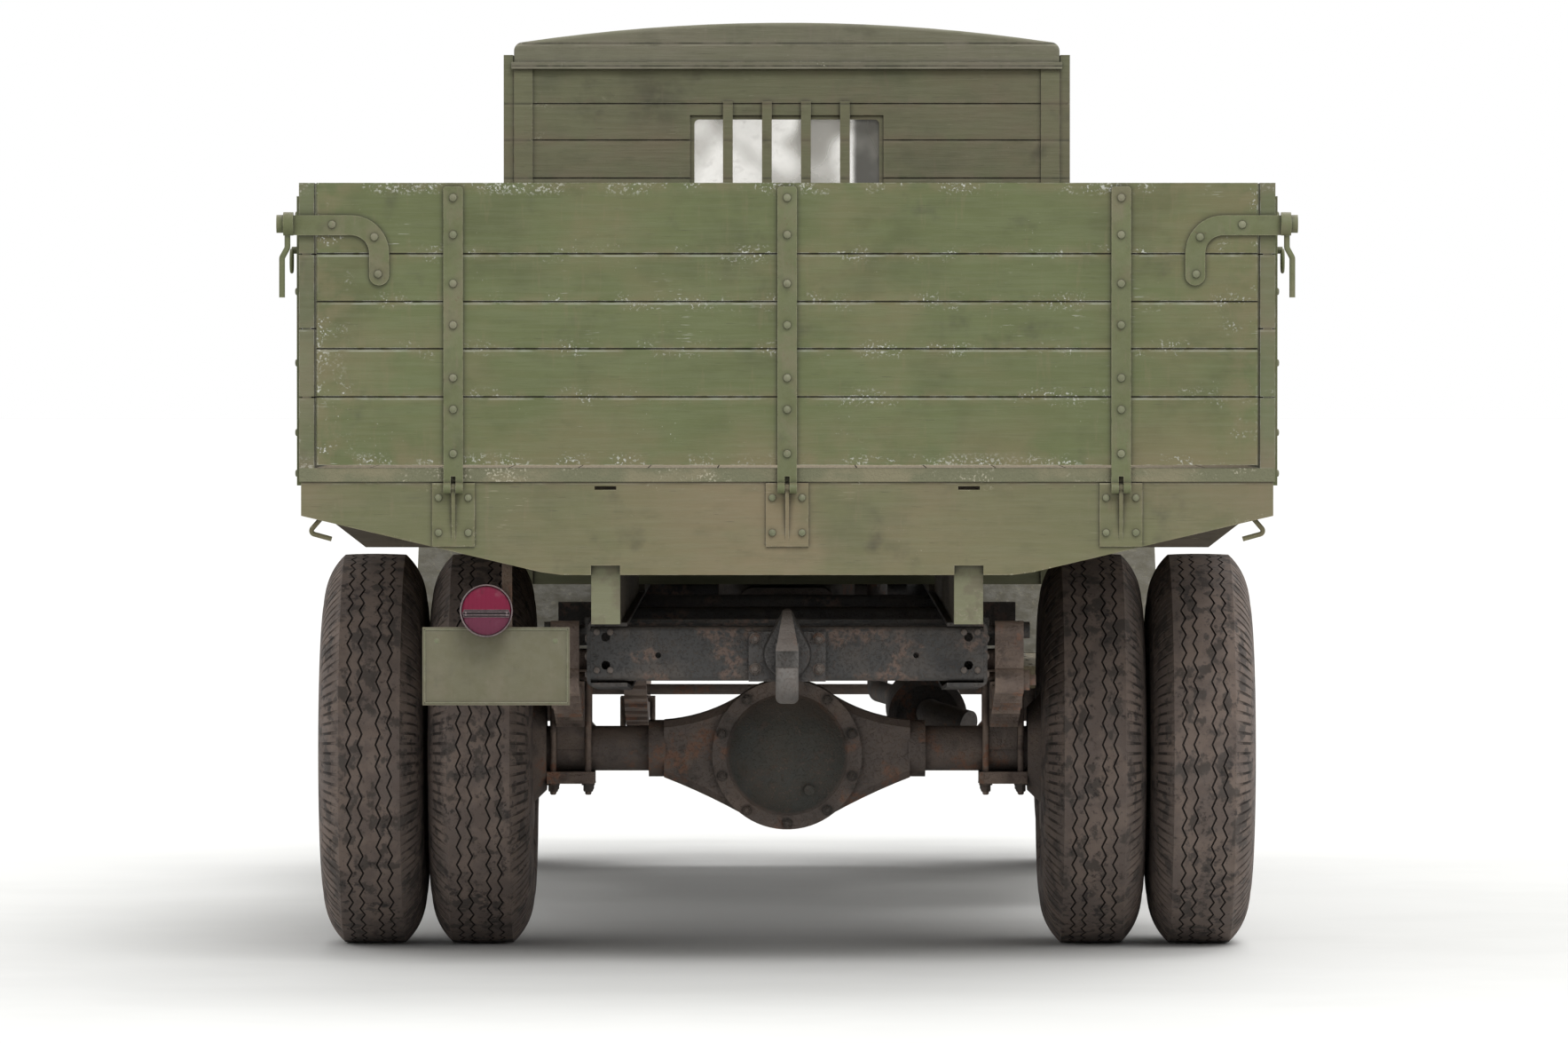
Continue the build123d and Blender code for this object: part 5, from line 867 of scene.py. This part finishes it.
class TRUCK_OT_finishes(bpy.types.Operator):
    """Give every carried-over solid its finish"""
    bl_idname = "truck.finishes"
    bl_label = "Finishes"

    def execute(self, context):
        FINISHES.update(all_finishes())
        slots = {part["node"]: part["material_slot"] for part in frame["record"]["subparts"]}
        for node_name, solid in frame["nodes"].items():
            slot = slots[node_name]
            finish = FINISHES[NODE_FINISH.get(node_name, SLOT_FINISH.get(slot, slot))]
            for place in solid.material_slots:
                place.material = finish
        return {"FINISHED"}


class TRUCK_OT_tyres(bpy.types.Operator):
    """Make the treaded tyres"""
    bl_idname = "truck.tyres"
    bl_label = "Tyres"

    def execute(self, context):
        half = context.scene.truck_sizes.tyre_half_width
        for end, (side, _) in product(("front", "rear"), SIDES):
            node = f"tyre_{end}_{side}"
            low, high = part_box(node)
            axle_y = middle_y(node)
            # one place for a front wheel's single tyre, two for the rear's twin
            centres = {round(low[0] + half, 5), round(high[0] - half, 5)}
            points, faces, parts = [], [], []
            for centre_x in sorted(centres):
                tyre_ring(points, faces, parts, centre_x, axle_y)
            mesh = bpy.data.meshes.new(f"tread_{end}_{side}")
            mesh.from_pydata(points, [], faces)
            mesh.polygons.foreach_set("material_index", parts)
            mounted(f"tread_{end}_{side}", mesh, f"wheel_{end}_{side}",
                    ("tyre_rubber", "shaded_groove_rubber"), node, sharp=28)
        return {"FINISHED"}


class TRUCK_OT_bolts(bpy.types.Operator):
    """Set the bolts, nuts and rivets"""
    bl_idname = "truck.bolts"
    bl_label = "Bolts"

    def execute(self, context):
        sizes = context.scene.truck_sizes
        head = sizes.bolt_radius

        form = bmesh.new()
        board_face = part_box("tailgate_boards")[0][1]
        for x, z in product(STRAP_PLACES, STRAP_BOLT_Z):
            round_head(form, (x, board_face - STRAP_THICKNESS, z), REAR, head * 1.1, BOLT_PROUD)
        for (_, side), (x, z) in product(SIDES, LATCH_BOLTS):
            round_head(form, (side * x, board_face - LATCH_THICKNESS, z), REAR, head * 1.1, BOLT_PROUD)
        piece("gate_bolts", form, "tailgate", ("bolt_steel",))

        form = bmesh.new()
        for x, way, z in product(STRAP_PLACES, (-1, 1), HINGE_BOLT_Z):
            round_head(form, (x + way * HINGE_BOLT_REACH, HINGE_PLATE_Y, z), REAR, head, BOLT_PROUD)
        side_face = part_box("bed_sides")[1][0] + SIDE_IRON_THICKNESS
        for _, side in SIDES:
            for y, z in product(*SIDE_BOLTS):
                round_head(form, (side * side_face, y, z), (side, 0, 0), head, proud=0.005)
            for y, x in product(*STEP_BOLTS):
                round_head(form, (side * x, y, STEP_TOP), (0, 0, 1), head * 0.8, proud=0.003)
            for z, x in product(*BUMPER_BOLTS):
                round_head(form, (side * x, BUMPER_Y, z), (0, 1, 0), head * 0.9, proud=0.004)
        piece("body_bolts", form, "chassis", ("bolt_steel",))

        for name, side in SIDES:
            form = bmesh.new()
            for z, y in DOOR_BOLTS:
                round_head(form, (side * DOOR_FACE_X, y, z), (side, 0, 0), head * 0.65, proud=0.003)
            piece(f"door_bolts_{name}", form, f"door_{name}", ("bolt_steel",))

        form = bmesh.new()
        for _, side in SIDES:
            for z in HOOK_NUT_Z:
                hex_nut(form, (side * HOOK_NUT_X, HOOK_PLATE_Y, z), REAR, *HOOK_NUT)
            # nuts of the spring's U-bolts, under their plate
            for way, y in product((-1, 1), U_BOLT_Y):
                place = (side * SPRING_X + way * U_BOLT_REACH, y, U_BOLT_PLATE_Z)
                hex_nut(form, place, (0, 0, -1), *U_BOLT_NUT)
            # rivets of the rails, where crossmembers and hangers sit behind them
            for y, z in product(*RAIL_RIVETS):
                round_head(form, (side * RAIL_FACE_X, y, z), (side, 0, 0), *RAIL_RIVET)
            for x, z in product(*REAR_MEMBER_RIVETS):
                round_head(form, (side * x, REAR_MEMBER_Y, z), REAR, *REAR_RIVET)
        # ring of nuts round the axle's bowl, before and behind
        for (face, way), number in product(BOWL_FACES, range(BOWL_NUTS)):
            turn = math.tau * (number + 0.5) / BOWL_NUTS
            place = (BOWL_CIRCLE * math.cos(turn), face, BOWL_Z + BOWL_CIRCLE * math.sin(turn))
            hex_nut(form, place, (0, way, 0), *BOWL_NUT)
        piece("chassis_nuts", form, "chassis", ("chassis_bolts",))

        for end, (name, side) in product(DISC_X, SIDES):
            form = bmesh.new()
            axle_y = middle_y(f"wheel_{end}_{name}")
            for number in range(sizes.wheel_nuts):
                turn = math.tau * number / sizes.wheel_nuts
                place = (side * DISC_X[end], axle_y + DISC_CIRCLE * math.sin(turn),
                         AXLE_HEIGHT + DISC_CIRCLE * math.cos(turn))
                hex_nut(form, place, (side, 0, 0), *WHEEL_NUT)
            piece(f"wheel_nuts_{end}_{name}", form, f"wheel_{end}_{name}", ("chassis_bolts",))
        return {"FINISHED"}


class TRUCK_OT_tail_lamp(bpy.types.Operator):
    """Make the tail lamp, its bracket and the blank number plate"""
    bl_idname = "truck.tail_lamp"
    bl_label = "Tail lamp"

    def execute(self, context):
        centre = (LAMP_X, 0, LAMP_Z)
        form = bmesh.new()
        lathe(form, centre, REAR, LAMP_CASE, LAMP_TURNS)
        # the dark band across the glass, with its four screws
        for half, low, high in BAND_BARS:
            bar(form, (LAMP_X - half, BAND_Y[0], low), (LAMP_X + half, BAND_Y[1], high), BAND_EDGE, 1)
        for x, z in product(*LAMP_SCREWS):
            round_head(form, (LAMP_X + x, LAMP_SCREW_Y, z), REAR, *LAMP_SCREW)
        piece("tail_lamp_housing", form, "chassis", ("lamp_rim", "lamp_band"), "tail_lamp")

        form = bmesh.new()
        for profile in (LAMP_GLASS, LAMP_GLASS_BACK):
            lathe(form, centre, REAR, profile, LAMP_TURNS)
        piece("tail_lamp_glass", form, "chassis", ("lamp_lens",), "tail_lamp", 60)

        form = bmesh.new()
        bar(form, *PLATE, PLATE_EDGE)
        # the pressed border and the plate's two screws
        for (left, low), (right, high) in BORDER_BARS:
            bar(form, (left, BORDER_Y[0], low), (right, BORDER_Y[1], high), BORDER_EDGE, 1)
        for x, z in product(*PLATE_SCREWS):
            round_head(form, (x, PLATE_SCREW_Y, z), REAR, *PLATE_SCREW, 1)
        piece("number_plate", form, "chassis", ("plate_paint", "bolt_steel"), "tail_lamp")

        form = bmesh.new()
        bar(form, *BRACKET, BRACKET_EDGE)
        for x, z in product(*BRACKET_BOLTS):
            round_head(form, (x, BRACKET_BOLT_Y, z), REAR, *BRACKET_BOLT)
        piece("lamp_bracket", form, "chassis", ("bracket_paint",), "tail_lamp")
        return {"FINISHED"}


class TRUCK_OT_headlamps(bpy.types.Operator):
    """Make the headlamps' glasses and rims"""
    bl_idname = "truck.headlamps"
    bl_label = "Headlamps"

    def execute(self, context):
        form = bmesh.new()
        for _, side in SIDES:
            centre = (side * HEADLAMP[0], HEADLAMP[1], HEADLAMP[2])
            for part, profile in enumerate((HEADLAMP_RIM, HEADLAMP_GLASS)):
                lathe(form, centre, (0, 1, 0), profile, LAMP_TURNS, part)
        piece("headlamp_glasses", form, "chassis", ("lamp_rim", "headlamp_glass"), None, 50)
        return {"FINISHED"}


class TRUCK_OT_cushions(bpy.types.Operator):
    """Pad the bench seat and its back"""
    bl_idname = "truck.cushions"
    bl_label = "Cushions"

    def execute(self, context):
        cell = context.scene.truck_sizes.cushion_cell
        for name, low, high, thin in CUSHIONS:
            form = bmesh.new()
            bar(form, low, high, PAD_EDGE)
            cushion = piece(name, form, "chassis", ("seat_hide",), "seat_cushions", None)
            remesh = cushion.modifiers.new("cells", "REMESH")
            remesh.mode = "VOXEL"
            remesh.voxel_size = cell
            context.view_layer.objects.active = cushion
            bpy.ops.object.select_all(action="DESELECT")
            cushion.select_set(True)
            bpy.ops.object.modifier_apply(modifier=remesh.name)
            before = [vert.co.copy() for vert in cushion.data.vertices]
            cloth = cushion.modifiers.new("padding", "CLOTH")
            cloth.settings.use_pressure = True
            cloth.settings.uniform_pressure_force = PRESSURE
            cloth.settings.effector_weights.gravity = 0.0
            cloth.settings.quality = 5
            for step in range(1, PRESSURE_STEPS + 1):
                context.scene.frame_set(step)
            bpy.ops.object.modifier_apply(modifier=cloth.name)
            context.scene.frame_set(1)
            middle = (low[thin] + high[thin]) / 2
            reach = (high[thin] - low[thin]) / 2
            for vert, start in zip(cushion.data.vertices, before):
                move = vert.co - start
                if move.length > LARGEST_SWELL:
                    vert.co = start + move.normalized() * LARGEST_SWELL
                # the sewn channels, evenly spaced from the middle
                across = (vert.co.x / CHANNEL_PITCH + 0.5) % 1.0 - 0.5
                pull = math.exp(-((across * CHANNEL_PITCH) / CHANNEL_WIDTH) ** 2)
                side = vert.co[thin] - middle
                share = min(1.0, abs(side) / reach)
                padded = middle + side * (1 - CHANNEL_PULL * pull * share)
                vert.co[thin] = max(low[thin] - ROOM_UNDER, min(high[thin] + ROOM_OVER, padded))
                vert.co.x = max(-BENCH_HALF_WIDTH, min(BENCH_HALF_WIDTH, vert.co.x))
            smooth = cushion.modifiers.new("surface", "SUBSURF")
            smooth.levels = smooth.render_levels = 1
            bpy.ops.object.modifier_apply(modifier=smooth.name)
            cushion.data.shade_smooth()
        return {"FINISHED"}


OPERATORS = (
    TRUCK_OT_stage, TRUCK_OT_finishes, TRUCK_OT_tyres, TRUCK_OT_bolts, TRUCK_OT_tail_lamp,
    TRUCK_OT_headlamps, TRUCK_OT_cushions,
)


class TRUCK_PT_panel(bpy.types.Panel):
    bl_label = "Truck"
    bl_idname = "TRUCK_PT_panel"
    bl_space_type = "VIEW_3D"
    bl_region_type = "UI"
    bl_category = "Truck"

    def draw(self, context):
        for operator in OPERATORS:
            self.layout.operator(operator.bl_idname)


CLASSES = (TruckSizes, *OPERATORS, TRUCK_PT_panel)


def register():
    for cls in CLASSES:
        bpy.utils.register_class(cls)
    bpy.types.Scene.truck_sizes = PointerProperty(type=TruckSizes)


def unregister():
    del bpy.types.Scene.truck_sizes
    for cls in reversed(CLASSES):
        bpy.utils.unregister_class(cls)


def main():
    register()
    for operator in OPERATORS:
        module, name = operator.bl_idname.split(".")
        getattr(getattr(bpy.ops, module), name)()


if __name__ == "__main__":
    main()
